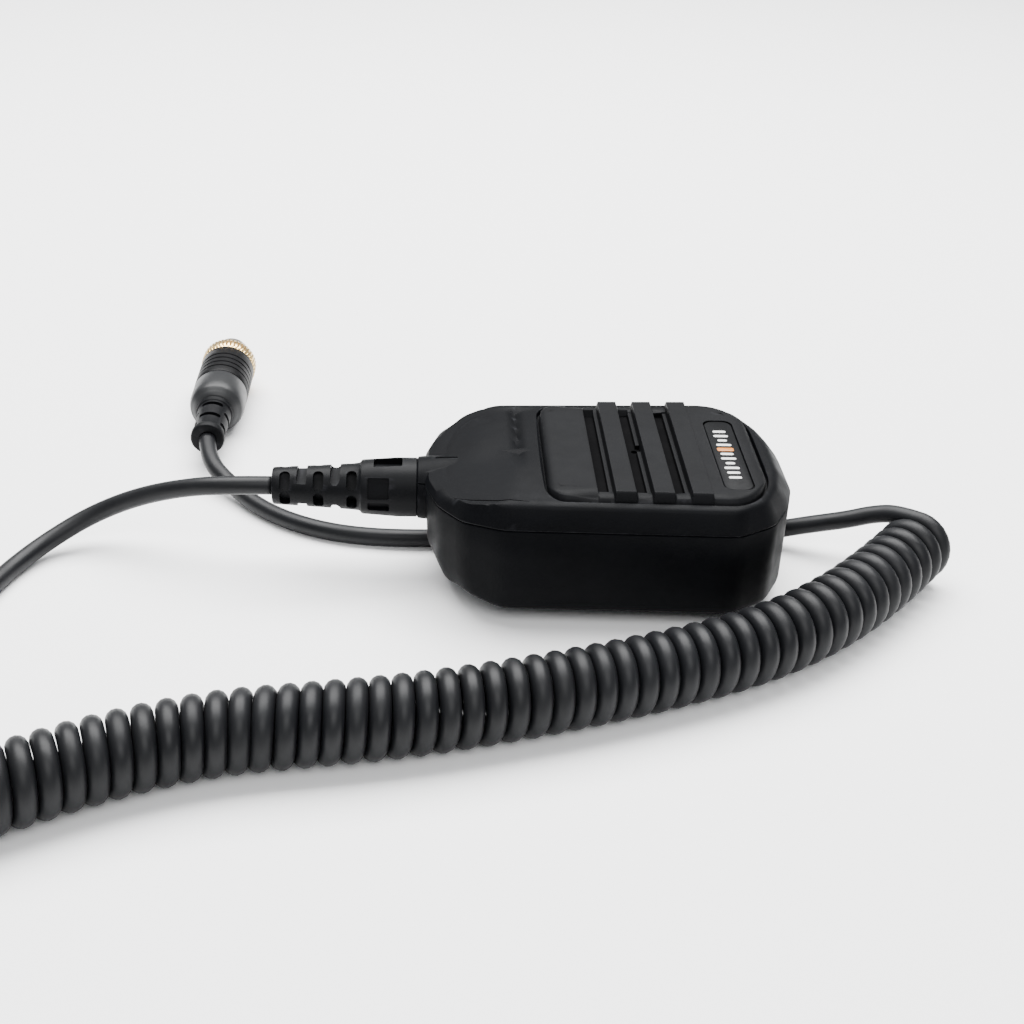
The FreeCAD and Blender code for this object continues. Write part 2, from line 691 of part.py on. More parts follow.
def save(name, shape):
    solids = shape if isinstance(shape, list) else [shape]
    for solid in solids:
        if not solid.isValid() or solid.Volume <= 0:
            raise ValueError(f"{name} is not a sound solid")
    whole = Part.makeCompound(solids) if len(solids) > 1 else solids[0]
    whole.exportStep(os.path.join("parts", name + ".step"))


def main():
    os.makedirs("parts", exist_ok=True)
    case = whole_case()
    microphone = {
        "rear_shell": rear_shell(case), "front_shell": front_shell(case), "case_gasket": gasket(),
        "case_screws": case_screws(), "grille_panel": grille_panel(), "badge_plate": badge_plate(),
        "hanger_stud": hanger_stud(), "stud_screw": stud_screw(), "stud_insert": stud_insert(),
        "talk_button": talk_button(), "talk_seal": talk_seal(), "talk_switch": talk_switch(),
        "talk_plunger": talk_plunger(), "main_board": main_board(), "board_screws": board_screws(),
        "board_parts": board_parts(), "mic_capsule": mic_capsule(), "mic_boot": mic_boot(),
        "mic_felt": mic_felt(), "mic_leads": mic_leads(), "cord_inner_end": cord_inner_end(),
        "cord_clamp": cord_clamp(), "clamp_screws": clamp_screws(), "inner_wires": inner_wires(),
        "wire_housing": wire_housing(), "board_header": board_header(), "strain_relief": strain_relief(),
    }
    for name, shape in microphone.items():
        pieces = [placed(s) for s in shape] if isinstance(shape, list) else placed(shape)
        save(name, pieces)
    cord_and_plug = {
        "cord_lead": route("cord_lead", LEAD_POINTS, CORD_RADIUS),
        "cord_coil": route("cord_coil", COIL_POINTS, COIL_RADIUS),
        "cord_tail": route("cord_tail", TAIL_POINTS, CORD_RADIUS),
        "plug_boot": plug_boot(), "plug_body": plug_body(), "plug_sleeve": plug_sleeve(),
        "plug_ring": plug_ring(), "plug_nose": plug_nose(), "plug_insert": plug_insert(),
        "plug_pins": plug_pins(),
    }
    for name, shape in cord_and_plug.items():
        save(name, shape)


main()
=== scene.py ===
import json
import math

import bpy
import bmesh
from mathutils import Matrix, Vector


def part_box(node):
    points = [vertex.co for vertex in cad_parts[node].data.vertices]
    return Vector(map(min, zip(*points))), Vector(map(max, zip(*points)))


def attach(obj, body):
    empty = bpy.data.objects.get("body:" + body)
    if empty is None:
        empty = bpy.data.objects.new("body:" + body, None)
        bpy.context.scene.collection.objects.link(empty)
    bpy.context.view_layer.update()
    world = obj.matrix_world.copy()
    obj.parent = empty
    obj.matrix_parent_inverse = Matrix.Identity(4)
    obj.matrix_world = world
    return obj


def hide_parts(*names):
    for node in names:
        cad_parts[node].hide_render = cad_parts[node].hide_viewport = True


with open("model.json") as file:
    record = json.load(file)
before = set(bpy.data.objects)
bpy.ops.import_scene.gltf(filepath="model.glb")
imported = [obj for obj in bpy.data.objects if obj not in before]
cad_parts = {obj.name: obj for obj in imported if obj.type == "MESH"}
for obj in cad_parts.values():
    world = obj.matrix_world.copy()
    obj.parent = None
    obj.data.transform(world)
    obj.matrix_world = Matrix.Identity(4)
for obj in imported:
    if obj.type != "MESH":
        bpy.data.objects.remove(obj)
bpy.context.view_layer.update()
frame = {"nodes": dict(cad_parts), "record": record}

MM = 0.001
UP = Vector((0.0, 0.0, 1.0))

COIL_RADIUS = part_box("cord_coil")[1].z / 2
CORD_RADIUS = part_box("cord_inner_end")[1].z / 2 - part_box("cord_inner_end")[0].z / 2
FLOOR_Z = CORD_RADIUS


def add_to_scene(name, data):
    """An object for a mesh, curve, light or camera, linked to the scene."""
    thing = bpy.data.objects.new(name, data)
    bpy.context.scene.collection.objects.link(thing)
    return thing


# ---- camera ----
def add_camera():
    """The main viewpoint: 30 degrees down, close in, and rolled slightly."""
    aim = Vector((-0.0222, -0.026, 0.030))
    distance = 0.334
    elevation = math.radians(30.0)
    yaw = math.radians(3.7)
    roll = math.radians(2.5)
    forward = Vector((math.sin(yaw) * math.cos(elevation),
                      math.cos(yaw) * math.cos(elevation),
                      -math.sin(elevation)))
    right = Vector((math.cos(yaw), -math.sin(yaw), 0.0))
    up = right.cross(forward)
    rolled_right = right * math.cos(roll) + up * math.sin(roll)
    rolled_up = up * math.cos(roll) - right * math.sin(roll)
    data = bpy.data.cameras.new("camera")
    data.sensor_width = 36.0
    data.lens = 51.86
    data.clip_start = 0.01
    camera = add_to_scene("camera", data)
    turn = Matrix((rolled_right, rolled_up, -forward)).transposed()
    camera.matrix_world = Matrix.Translation(aim - forward * distance) @ turn.to_4x4()
    bpy.context.scene.camera = camera


# ---- the cord's route: the same points as in the part's source, in metres ----
LEAD_POINTS = [
    (-0.07875, -0.0006, 0.0220),
    (-0.0910, -0.0006, 0.0220),
    (-0.1025, 0.0034, 0.0186),
    (-0.1140, 0.0074, 0.0136),
    (-0.1250, 0.0082, 0.0082),
    (-0.1340, 0.0034, 0.0042),
    (-0.1406, -0.0056, 0.0024),
    (-0.1446, -0.0170, FLOOR_Z),
    (-0.1486, -0.0310, FLOOR_Z),
    (-0.1536, -0.0460, FLOOR_Z),
    (-0.1580, -0.0620, FLOOR_Z),
    (-0.1594, -0.0760, FLOOR_Z),
    (-0.1556, -0.0890, FLOOR_Z),
    (-0.1493, -0.1001, FLOOR_Z),
    (-0.1453, -0.1082, FLOOR_Z),
]
COIL_POINTS = [
    (-0.1434, -0.1072, COIL_RADIUS),
    (-0.1220, -0.0960, COIL_RADIUS),
    (-0.1045, -0.0865, COIL_RADIUS),
    (-0.0840, -0.0790, COIL_RADIUS),
    (-0.0645, -0.0762, COIL_RADIUS),
    (-0.0447, -0.0732, COIL_RADIUS),
    (-0.0214, -0.0674, COIL_RADIUS),
    (0.0030, -0.0598, COIL_RADIUS),
    (0.0280, -0.0502, COIL_RADIUS),
    (0.0480, -0.0382, COIL_RADIUS),
    (0.0670, -0.0208, COIL_RADIUS),
    (0.0803, -0.0048, COIL_RADIUS),
]
TAIL_POINTS = [
    (0.0816, -0.0032, 0.0153),
    (0.0764, 0.0010, 0.0153),
    (0.0710, 0.0037, 0.0134),
    (0.0652, 0.0051, 0.0109),
    (0.0587, 0.0077, 0.0082),
    (0.0520, 0.0097, 0.0057),
    (0.0450, 0.0122, 0.0025),
    (0.0370, 0.0138, FLOOR_Z),
    (0.0200, 0.0132, FLOOR_Z),
    (0.0020, 0.0114, FLOOR_Z),
    (-0.0170, 0.0094, FLOOR_Z),
    (-0.0360, 0.0082, FLOOR_Z),
    (-0.0520, 0.0080, FLOOR_Z),
    (-0.0650, 0.0102, FLOOR_Z),
    (-0.0766, 0.0156, FLOOR_Z),
    (-0.0864, 0.0236, 0.0025),
    (-0.0942, 0.0326, 0.0040),
    (-0.1006, 0.0400, 0.0068),
    (-0.1022, 0.0500, 0.0080),
]
COIL_TURNS = 52.5
COIL_OVERHANG = 2.1 * MM    # how far the helix goes past each end of its route
SAMPLES_PER_TURN = 28
CORD_SIDES = 14


def smooth_line(points, name):
    """The points that a NURBS spline with these control points runs through."""
    curve = bpy.data.curves.new(name, "CURVE")
    curve.dimensions = "3D"
    curve.resolution_u = 16
    spline = curve.splines.new("NURBS")
    spline.points.add(len(points) - 1)
    for point, place in zip(spline.points, points):
        point.co = (*place, 1.0)
    spline.order_u = 3
    spline.use_endpoint_u = True
    holder = add_to_scene(name, curve)
    bpy.context.view_layer.update()
    mesh = bpy.data.meshes.new_from_object(holder)
    line = [v.co.copy() for v in mesh.vertices]
    bpy.data.objects.remove(holder)
    bpy.data.meshes.remove(mesh)
    bpy.data.curves.remove(curve)
    return line


def ease(value, start, end):
    """0 before start, 1 after end, and a smooth S between."""
    t = min(1.0, max(0.0, (value - start) / (end - start)))
    return t * t * (3 - 2 * t)


def hump(value, middle, width):
    return math.exp(-((value - middle) / width) ** 2)


def line_length(line):
    return sum((b - a).length for a, b in zip(line, line[1:]))


def helix(axis):
    """A helix round an axis line, from the bottom of its first turn to the top of its last."""
    radius = COIL_RADIUS - CORD_RADIUS
    start = axis[0] - (axis[1] - axis[0]).normalized() * COIL_OVERHANG
    end = axis[-1] + (axis[-1] - axis[-2]).normalized() * COIL_OVERHANG
    axis = [start] + axis + [end]
    total = line_length(axis)
    samples = int(COIL_TURNS * SAMPLES_PER_TURN)
    line = []
    piece = 0
    before = 0.0
    for i in range(samples + 1):
        share = i / samples
        # The turns are closest a third of the way along, and widest at the tail.
        stretched = 0.108 * share ** 2 * (1 - share)
        uneven = 0.0006 * math.sin(8 * math.pi * share)
        along = total * (share - stretched + uneven)
        run = axis[piece + 1] - axis[piece]
        while before + run.length < along and piece < len(axis) - 2:
            before += run.length
            piece += 1
            run = axis[piece + 1] - axis[piece]
        direction = run.normalized()
        to_front = Vector((direction.y, -direction.x, 0.0))
        angle = 2 * math.pi * COIL_TURNS * share
        middle = axis[piece] + direction * (along - before)
        line.append(middle + (to_front * math.sin(angle) - UP * math.cos(angle)) * radius)
    return line


def tube_mesh(name, line, radius, sides):
    """A closed tube of one radius round a line of points, with frames carried along it."""
    across = (line[1] - line[0]).normalized().cross(UP).normalized()
    rings = []
    for i, place in enumerate(line):
        ahead = line[min(i + 1, len(line) - 1)] - line[max(i - 1, 0)]
        new_tangent = ahead.normalized()
        across = (across - new_tangent * across.dot(new_tangent)).normalized()
        other = new_tangent.cross(across)
        ring = []
        for k in range(sides):
            angle = 2 * math.pi * k / sides
            outwards = across * math.cos(angle) + other * math.sin(angle)
            ring.append(place + outwards * radius)
        rings.append(ring)
    mesh = bmesh.new()
    loft(mesh, rings)
    piece = mesh_piece(name, mesh)
    piece.data.polygons.foreach_set("use_smooth", [True] * len(piece.data.polygons))
    return piece


def add_cord():
    """The whole cord in one piece: straight lead, curly section and tail."""
    lead = smooth_line(LEAD_POINTS, "lead_route")
    coil = helix(smooth_line(COIL_POINTS, "coil_route"))
    tail = smooth_line(TAIL_POINTS, "tail_route")
    line = lead + coil + tail
    shortest_step = 0.2 * MM
    clean = [line[0]]
    for place in line[1:]:
        if (place - clean[-1]).length > shortest_step:
            clean.append(place)
    cord = tube_mesh("curly_cord", clean, CORD_RADIUS, CORD_SIDES)
    dress(cord, "cord", cord_skin(), "cord_lead", "cord_coil", "cord_tail")
    return cord, clean


# ---- driving sizes, in millimetres, from the frame ----
def box_mm(node):
    low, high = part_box(node)
    return low / MM, high / MM


case_low, case_high = box_mm("rear_shell")
front_high = box_mm("front_shell")[1]
stud_low, stud_high = box_mm("hanger_stud")
panel_low, panel_high = box_mm("grille_panel")
badge_low, badge_high = box_mm("badge_plate")
relief_low, relief_high = box_mm("strain_relief")
ring_low, ring_high = box_mm("plug_ring")

# The microphone's pieces are drawn in millimetres about the middle of the case's back.
BODY_PLACE = Vector(((stud_low.x + stud_high.x) / 2, (stud_low.y + stud_high.y) / 2, case_low.z))
HALF_LENGTH = case_high.x - BODY_PLACE.x
HALF_WIDTH = case_high.y - BODY_PLACE.y
PARTING = case_high.z - BODY_PLACE.z
FRONT_TOP = front_high.z - BODY_PLACE.z
NECK_START = case_low.x - BODY_PLACE.x
NECK_FACE = NECK_START + 1.9          # where the relief's barrel meets the case's collar
NECK_AXIS = (relief_low.z + relief_high.z) / 2 - BODY_PLACE.z
BARREL_RADIUS = (relief_high.z - relief_low.z) / 2
RELIEF_END = relief_low.x - BODY_PLACE.x
WALL = 2.0
FLOOR_THICK = 2.2
CAVITY_TOP = 25.2

HALF_OUTLINE = [
    (-HALF_LENGTH, 8.0),
    (-HALF_LENGTH + 3.0, 17.2),
    (-HALF_LENGTH + 8.5, HALF_WIDTH - 5.6),
    (-HALF_LENGTH + 18.0, HALF_WIDTH - 1.8),
    (HALF_LENGTH - 16.0, HALF_WIDTH),
    (HALF_LENGTH - 7.0, HALF_WIDTH - 5.2),
    (HALF_LENGTH - 2.0, 15.5),
    (HALF_LENGTH, 8.0),
]
ARC_STEPS = 3
SLOPE_START = (-24.0, 27.5)   # x and height where the front starts to fall to the cord end
SLOPE_FALL = 0.21             # how steeply it falls
SLOPE_WALL = 1.8
SLIT_X = (-41.4, -35.9)
SLIT_Y = (0.3, 0.85)
SCREW_POST = 3.6
SCREW_BORE = 2.9
THREAD_BORE = 1.6
STUD_BORE = 1.7

PANEL_BOTTOM = panel_low.z - BODY_PLACE.z
PANEL_EDGE = PANEL_BOTTOM + 0.9
PANEL_TOP = badge_high.z - BODY_PLACE.z
PANEL_LEFT = panel_low.x - BODY_PLACE.x
PANEL_RIGHT = panel_high.x - BODY_PLACE.x
PANEL_HALF = panel_high.y - BODY_PLACE.y
BAR_TOP = panel_high.z - BODY_PLACE.z - 0.2
BAR_WIDTH = 5.0
BAR_PITCH = 8.8
FIRST_BAR = 2.0
BAR_MIDDLES = [FIRST_BAR + BAR_PITCH * i for i in range(3)]
SLOT_WIDTH = 3.6
SLOT_END = 20.8            # half the length of a slot
BLOCK_END = 24.0           # the sunk block past each slot's end stops here
SLOT_FLOOR = 26.6
LEDGE_WIDTH = 1.1
LEDGE_HEIGHT = 1.0
PORT = (6.8, 1.5)          # middle of the microphone's port
PORT_RADIUS = 0.75
PORT_GAP = 1.6             # half the length of the gap in the slot's ledge at the port

PLUG_AXIS = Vector(((ring_low.x + ring_high.x) / 2, 0.0, (ring_low.z + ring_high.z) / 2))
RING_RADIUS = (ring_high.z - ring_low.z) / 2

screws_low, screws_high = box_mm("case_screws")
SCREW_HEAD = 2.5
CASE_SCREWS = [(x - BODY_PLACE.x, y - BODY_PLACE.y)
               for x in (screws_low.x + SCREW_HEAD, screws_high.x - SCREW_HEAD)
               for y in (screws_low.y + SCREW_HEAD, screws_high.y - SCREW_HEAD)]


# ---- mesh helpers ----
def loft(mesh, rings, loop=False):
    """Faces between rings of the same number of points; capped at both ends unless the rings close up."""
    rows = [[mesh.verts.new(p) for p in ring] for ring in rings]
    pairs = list(zip(rows, rows[1:]))
    if loop:
        pairs.append((rows[-1], rows[0]))
    count = len(rows[0])
    for first, second in pairs:
        for k in range(count):
            after = (k + 1) % count
            mesh.faces.new((first[k], first[after], second[after], second[k]))
    if not loop:
        mesh.faces.new(list(reversed(rows[0])))
        mesh.faces.new(rows[-1])
    bmesh.ops.recalc_face_normals(mesh, faces=mesh.faces)


def mesh_piece(name, mesh, to_frame=Matrix()):
    """An object from a finished bmesh, carried to the frame's metres."""
    data = bpy.data.meshes.new(name)
    mesh.to_mesh(data)
    mesh.free()
    data.transform(to_frame)
    return add_to_scene(name, data)


def from_mm(place):
    """Carries what is drawn in millimetres about a place to the frame's metres."""
    return Matrix.Scale(MM, 4) @ Matrix.Translation(place)


def lofted(name, rings, loop=False, place=BODY_PLACE):
    mesh = bmesh.new()
    loft(mesh, rings, loop)
    return mesh_piece(name, mesh, from_mm(place))


def combine(piece, other, how):
    """Boolean of two pieces, applied to the first; the other one is removed."""
    modifier = piece.modifiers.new(how, "BOOLEAN")
    modifier.operation = how
    modifier.solver = "EXACT"
    modifier.object = other
    bpy.context.view_layer.update()
    data = bpy.data.meshes.new_from_object(piece.evaluated_get(bpy.context.evaluated_depsgraph_get()))
    piece.modifiers.clear()
    old = piece.data
    piece.data = data
    bpy.data.meshes.remove(old)
    bpy.data.objects.remove(other)


def cut(piece, cutter):
    combine(piece, cutter, "DIFFERENCE")


def soften(piece, width, angle=38.0):
    """Round a piece's sharp edges a little, and shade it smooth up to them."""
    mesh = bmesh.new()
    mesh.from_mesh(piece.data)
    bmesh.ops.remove_doubles(mesh, verts=mesh.verts, dist=0.004 * MM)
    bmesh.ops.dissolve_degenerate(mesh, edges=mesh.edges, dist=0.004 * MM)
    for face in mesh.faces:
        face.smooth = True
    limit = math.radians(angle)
    for edge in mesh.edges:
        if len(edge.link_faces) == 2:
            edge.smooth = edge.calc_face_angle(0.0) < limit
    mesh.to_mesh(piece.data)
    mesh.free()
    if width:
        bevel = piece.modifiers.new("soft_edges", "BEVEL")
        bevel.width = width * MM
        bevel.segments = 2
        bevel.limit_method = "ANGLE"
        bevel.angle_limit = limit
        bevel.use_clamp_overlap = True


def dress(piece, slot, material, *nodes, body="root"):
    """Put a finished piece on its body, in place of its CAD nodes, with its material."""
    piece.data.materials.clear()
    piece.data.materials.append(material)
    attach(piece, body)
    if nodes:
        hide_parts(*nodes)
    return piece


def circle(middle, radius, axis, count):
    """Points of a circle round an axis named X, Y or Z."""
    points = []
    for k in range(count):
        angle = 2 * math.pi * k / count
        a, b = radius * math.cos(angle), radius * math.sin(angle)
        offset = {"X": (0, a, b), "Y": (b, 0, a), "Z": (a, b, 0)}[axis]
        points.append(Vector(middle) + Vector(offset))
    return points


def turned_rings(profile, middle, axis, count):
    """Rings for a turned piece: profile is (distance along the axis, radius)."""
    step = {"X": Vector((1, 0, 0)), "Y": Vector((0, 1, 0)), "Z": UP}[axis]
    return [circle(Vector(middle) + step * along, radius, axis, count) for along, radius in profile]


def rod(radius, low, high, axis="Z", count=32):
    """A round cutter from one point to another along an axis."""
    rings = [circle(low, radius, axis, count), circle(high, radius, axis, count)]
    return lofted("cutter", rings)


def rounded_rectangle(half_x, half_y, radius, steps=6):
    points = []
    for quarter, (sx, sy) in enumerate(((1, 1), (-1, 1), (-1, -1), (1, -1))):
        for k in range(steps + 1):
            angle = math.pi / 2 * (quarter + k / steps)
            points.append((sx * (half_x - radius) + radius * math.cos(angle),
                           sy * (half_y - radius) + radius * math.sin(angle)))
    return points


def block(x, y, z, radius, axis="Z"):
    """A cutter that fills three spans, with rounded corners round one axis."""
    spans = {"X": (y, z, x), "Y": (x, z, y), "Z": (x, y, z)}[axis]
    (a0, a1), (b0, b1), (c0, c1) = spans
    rings = []
    for height in (c0, c1):
        ring = []
        for a, b in rounded_rectangle((a1 - a0) / 2, (b1 - b0) / 2, radius):
            a += (a0 + a1) / 2
            b += (b0 + b1) / 2
            ring.append({"X": (height, a, b), "Y": (a, height, b), "Z": (a, b, height)}[axis])
        rings.append(ring)
    return lofted("cutter", rings)


# ---- the case's outline ----
def inset(points, distance):
    """A convex outline, given anticlockwise, moved inwards by a distance."""
    moved = []
    count = len(points)
    for i in range(count):
        before, here, after = (Vector(points[(i + k) % count]) for k in (-1, 0, 1))
        first = (here - before).normalized()
        second = (after - here).normalized()
        normal_1 = Vector((-first.y, first.x))
        normal_2 = Vector((-second.y, second.x))
        moved.append(here + (normal_1 + normal_2) * (distance / (1 + normal_1.dot(normal_2))))
    return moved


OUTLINE = [(x, -y) for x, y in HALF_OUTLINE] + [(x, y) for x, y in reversed(HALF_OUTLINE)]
POINT_SPACING = 0.9
SIDE_STEPS = [max(1, round(math.dist(here, after) / POINT_SPACING))
              for here, after in zip(OUTLINE, OUTLINE[1:] + OUTLINE[:1])]


def with_round_corners(points, share=0.22):
    """Replace each corner of a closed outline by a short curve, and divide its straight sides evenly."""
    smooth = []
    count = len(points)
    for i in range(count):
        before, here, after, beyond = (points[(i + k) % count] for k in (-1, 0, 1, 2))
        reach = share * min((here - before).length, (after - here).length)
        next_reach = share * min((after - here).length, (beyond - after).length)
        start = here + (before - here).normalized() * reach
        end = here + (after - here).normalized() * reach
        next_start = after + (here - after).normalized() * next_reach
        for k in range(ARC_STEPS + 1):
            t = k / ARC_STEPS
            smooth.append(start * (1 - t) ** 2 + here * 2 * t * (1 - t) + end * t ** 2)
        for k in range(1, SIDE_STEPS[i]):
            smooth.append(end.lerp(next_start, k / SIDE_STEPS[i]))
    return smooth


def case_ring(z, distance, cord_back=0.0, head_back=0.0, under_slope=None):
    """The case's outline at one height: its cord end and head pushed in, its bottom corners lifted."""
    cord_start, head_start = -25.0, 30.0
    ring = []
    for point in with_round_corners(inset(OUTLINE, distance)):
        x = point.x + cord_back * max(0.0, cord_start - point.x) / (HALF_LENGTH + cord_start)
        x -= head_back * max(0.0, point.x - head_start) / (HALF_LENGTH - head_start)
        here = z if under_slope is None else min(z, slope_height(x) - under_slope)
        corner_lift = 2.8 * ease(-x, 24.0, 40.0) * ease(abs(point.y), 13.0, 24.0)
        here += corner_lift * max(0.0, 1 - z / 7.0)
        ring.append(Vector((x, point.y, here)))
    return ring


def slope_height(x):
    """The plane in which the front falls to the cord end."""
    return SLOPE_START[1] - SLOPE_FALL * (SLOPE_START[0] - x)


# ---- case ----
def collar(name, low, high):
    """The neck that the strain relief stands against, flared into the case, between two heights."""
    profile = [(NECK_FACE, BARREL_RADIUS - 0.1), (NECK_FACE + 0.2, BARREL_RADIUS + 0.25),
               (NECK_START + 3.0, BARREL_RADIUS + 0.4), (NECK_START + 5.0, BARREL_RADIUS + 0.55),
               (NECK_START + 8.0, BARREL_RADIUS + 0.8), (NECK_START + 12.0, BARREL_RADIUS + 0.9)]
    neck = lofted(name, turned_rings(profile, (0, 0, NECK_AXIS), "X", 64))
    keep = block((-60, -30), (-20, 20), (low, high), 0.5)
    combine(neck, keep, "INTERSECT")
    return neck


def neck_bore():
    return rod(4.6, (NECK_START - 1, 0, NECK_AXIS), (NECK_START + 11, 0, NECK_AXIS), "X", 40)


def rear_case():
    """Each ring is its height, its inset, and how far its cord end and its head are pushed in."""
    outside = [(0.0, 1.8, 3.4), (0.1, 1.15, 3.4), (0.4, 0.5, 3.3), (0.95, 0.15, 3.2), (1.8, 0.0, 3.0),
               (7.0, 0.0, 0.9), (14.0, 0.0, 0.6), (PARTING - 0.5, 0.0, 0.2), (PARTING - 0.2, 0.1, 0.2),
               (PARTING - 0.08, 0.3, 0.2)]
    inside = [(PARTING - 0.08, WALL, 0.2), (7.0, WALL, 0.9), (5.0, WALL, 1.4), (FLOOR_THICK, 3.4, 3.4)]
    case = lofted("rear_case", [case_ring(*ring) for ring in outside + inside])
    combine(case, collar("rear_collar", -5.0, PARTING - 0.15), "UNION")
    cut(case, neck_bore())
    for x, y, radius in [(x, y, SCREW_BORE) for x, y in CASE_SCREWS] + [(0, 0, STUD_BORE)]:
        cut(case, rod(radius, (x, y, -1), (x, y, FLOOR_THICK + 1)))
    grow = 0.3
    window = block((BUTTON_X[0] - grow, BUTTON_X[1] + grow), (-WALL - 3.0, 3.0),
                   (BUTTON_Z[0] - grow, BUTTON_Z[1] + grow), 3.0, "Y")
    window.data.transform(side_turn())
    cut(case, window)
    low, step, high = FLOOR_THICK - 0.3, 8.0, PARTING - 0.3
    post = [(low, SCREW_POST), (high, SCREW_POST), (high, THREAD_BORE), (step, THREAD_BORE),
            (step, SCREW_BORE), (low, SCREW_BORE)]
    for x, y in CASE_SCREWS:
        add_loose(case, turned_rings(post, (x, y, 0), "Z", 32), loop=True)
    soften(case, 0.18)
    dress(case, "shell", shell_plastic(), "rear_shell")


def add_loose(piece, rings, loop=False):
    """Add another closed body to a piece's mesh, drawn in the case's millimetres."""
    mesh = bmesh.new()
    loft(mesh, rings, loop)
    bmesh.ops.transform(mesh, matrix=from_mm(BODY_PLACE), verts=mesh.verts)
    mesh.from_mesh(piece.data)
    mesh.to_mesh(piece.data)
    mesh.free()


def front_height(x, y, flat):
    """The front's height: flat or falling to the cord end, with the grip's valley and a swell beside it."""
    fade = ease(y, -11.0, 3.0)
    valley = (1.1 * hump(x, -21.5, 1.2) + 0.5 * hump(x, -20.5, 4.0)) * fade
    shoulder = 0.7 * hump(x, -30.0, 5.0) * ease(y, -6.0, 8.0) * ease(-y, -22.0, -14.0)
    slope = slope_height(x)
    blend = 0.35
    lower = min(flat, slope)
    rounding = max(0.0, blend - abs(flat - slope)) ** 2 / (4 * blend)
    return lower - rounding - valley + shoulder


def front_case():
    inside = [(CAVITY_TOP, 4.4, 1.2, 1.0), (PARTING + 2.0, WALL + 0.6, 0.5), (PARTING + 0.08, WALL, 0.2)]
    outside = [(PARTING + 0.08, 0.3, 0.2), (PARTING + 0.2, 0.1, 0.2), (PARTING + 0.5, 0.0, 0.2),
               (23.5, 0.6, 0.5, 0.5), (26.2, 1.75, 0.9, 1.7), (26.7, 2.1, 0.9, 2.0), (27.05, 2.6, 0.9, 2.2),
               (27.25, 3.3, 0.9, 2.4), (27.35, 4.0, 0.9, 2.4)]
    rings = [case_ring(*ring, under_slope=SLOPE_WALL) for ring in inside]
    rings += [case_ring(*ring, under_slope=0.0) for ring in outside]
    rim = rings[-1]
    steps = 34
    spine_half = 30.0
    for i in range(1, steps):
        t = i / steps
        ring = []
        for point in rim:
            spine = max(-spine_half, min(spine_half, point.x)) * 0.86
            x = point.x + (spine - point.x) * t
            y = point.y * (1 - t)
            flat = outside[-1][0] + (FRONT_TOP - outside[-1][0]) * (1 - (1 - t) ** 2)
            height = front_height(x, y, flat)
            share = ease(t, 0.0, 0.1)
            ring.append(Vector((x, y, point.z * (1 - share) + height * share)))
        rings.append(ring)
    case = lofted("front_case", rings)
    combine(case, collar("front_collar", PARTING + 0.15, 40.0), "UNION")
    cut(case, neck_bore())
    pocket = [[(x, y, z) for x, y in panel_outline(grow)]
              for z, grow in ((PANEL_BOTTOM, 0.45), (26.9, 0.45), (27.5, 0.6), (28.6, 1.6))]
    cut(case, lofted("cutter", pocket))
    cut(case, rod(PORT_RADIUS + 0.15, (*PORT, CAVITY_TOP - 4), (*PORT, PANEL_BOTTOM + 1)))
    cut(case, block(SLIT_X, SLIT_Y, (24.0, 30.0), 0.25))
    cut(case, crease_cutter())
    soften(case, 0.18)
    dress(case, "shell", shell_plastic(), "front_shell")


def crease_cutter():
    """A thin wedge for the crease where the slope meets the near side, finest at both its ends."""
    above = 32.0
    rings = []
    for x, y, half, low in ((-37.5, -18.8, 0.05, 24.5), (-33.0, -21.3, 0.2, 25.2),
                            (-27.0, -23.6, 0.22, 26.45), (-20.0, -24.5, 0.05, 27.3)):
        rings.append([(x, y - half, low), (x, y + half, low), (x, y + half, above), (x, y - half, above)])
    return lofted("cutter", rings)


# ---- grille panel ----
def panel_half_width(x):
    """Half of the panel's width at x: it spreads a little towards the head, and its corners are round."""
    taper = PANEL_HALF - 1.2 * (27.0 - min(x, 27.0)) / 40.0
    left_corner, right_corner = 4.4, 11.0
    if x < PANEL_LEFT + left_corner:
        t = (PANEL_LEFT + left_corner - x) / left_corner
        return taper - 6.5 * (1 - math.sqrt(max(0.0, 1 - t * t)))
    if x > PANEL_RIGHT - right_corner:
        t = (x - PANEL_RIGHT + right_corner) / right_corner
        return taper - 15.2 * (1 - math.sqrt(max(0.0, 1 - t * t)))
    return taper


def panel_outline(grow):
    """The panel's outline, anticlockwise, grown by a margin."""
    left, right = PANEL_LEFT - grow, PANEL_RIGHT + grow
    count = 72
    low = []
    for i in range(count + 1):
        x = left + (right - left) * (0.5 - 0.5 * math.cos(math.pi * i / count))
        inner = PANEL_LEFT + (x - left) * (PANEL_RIGHT - PANEL_LEFT) / (right - left)
        low.append((x, -panel_half_width(inner) - grow))
    return low + [(x, -y) for x, y in reversed(low)]


def grid_lines(low, high, spacing, edges):
    """Lines across a span, evenly spaced, with close ones round each edge of a feature."""
    count = round((high - low) / spacing)
    lines = {round(low + (high - low) * i / count, 3) for i in range(count + 1)}
    for edge in edges:
        lines = {line for line in lines if abs(line - edge) > 0.34 or line in (low, high)}
    for edge in edges:
        lines |= {round(edge + step, 3) for step in (-0.32, -0.2, -0.1, -0.03, 0.03, 0.1, 0.2, 0.32)}
    lines |= {low, high}
    return sorted(line for line in lines if low <= line <= high)


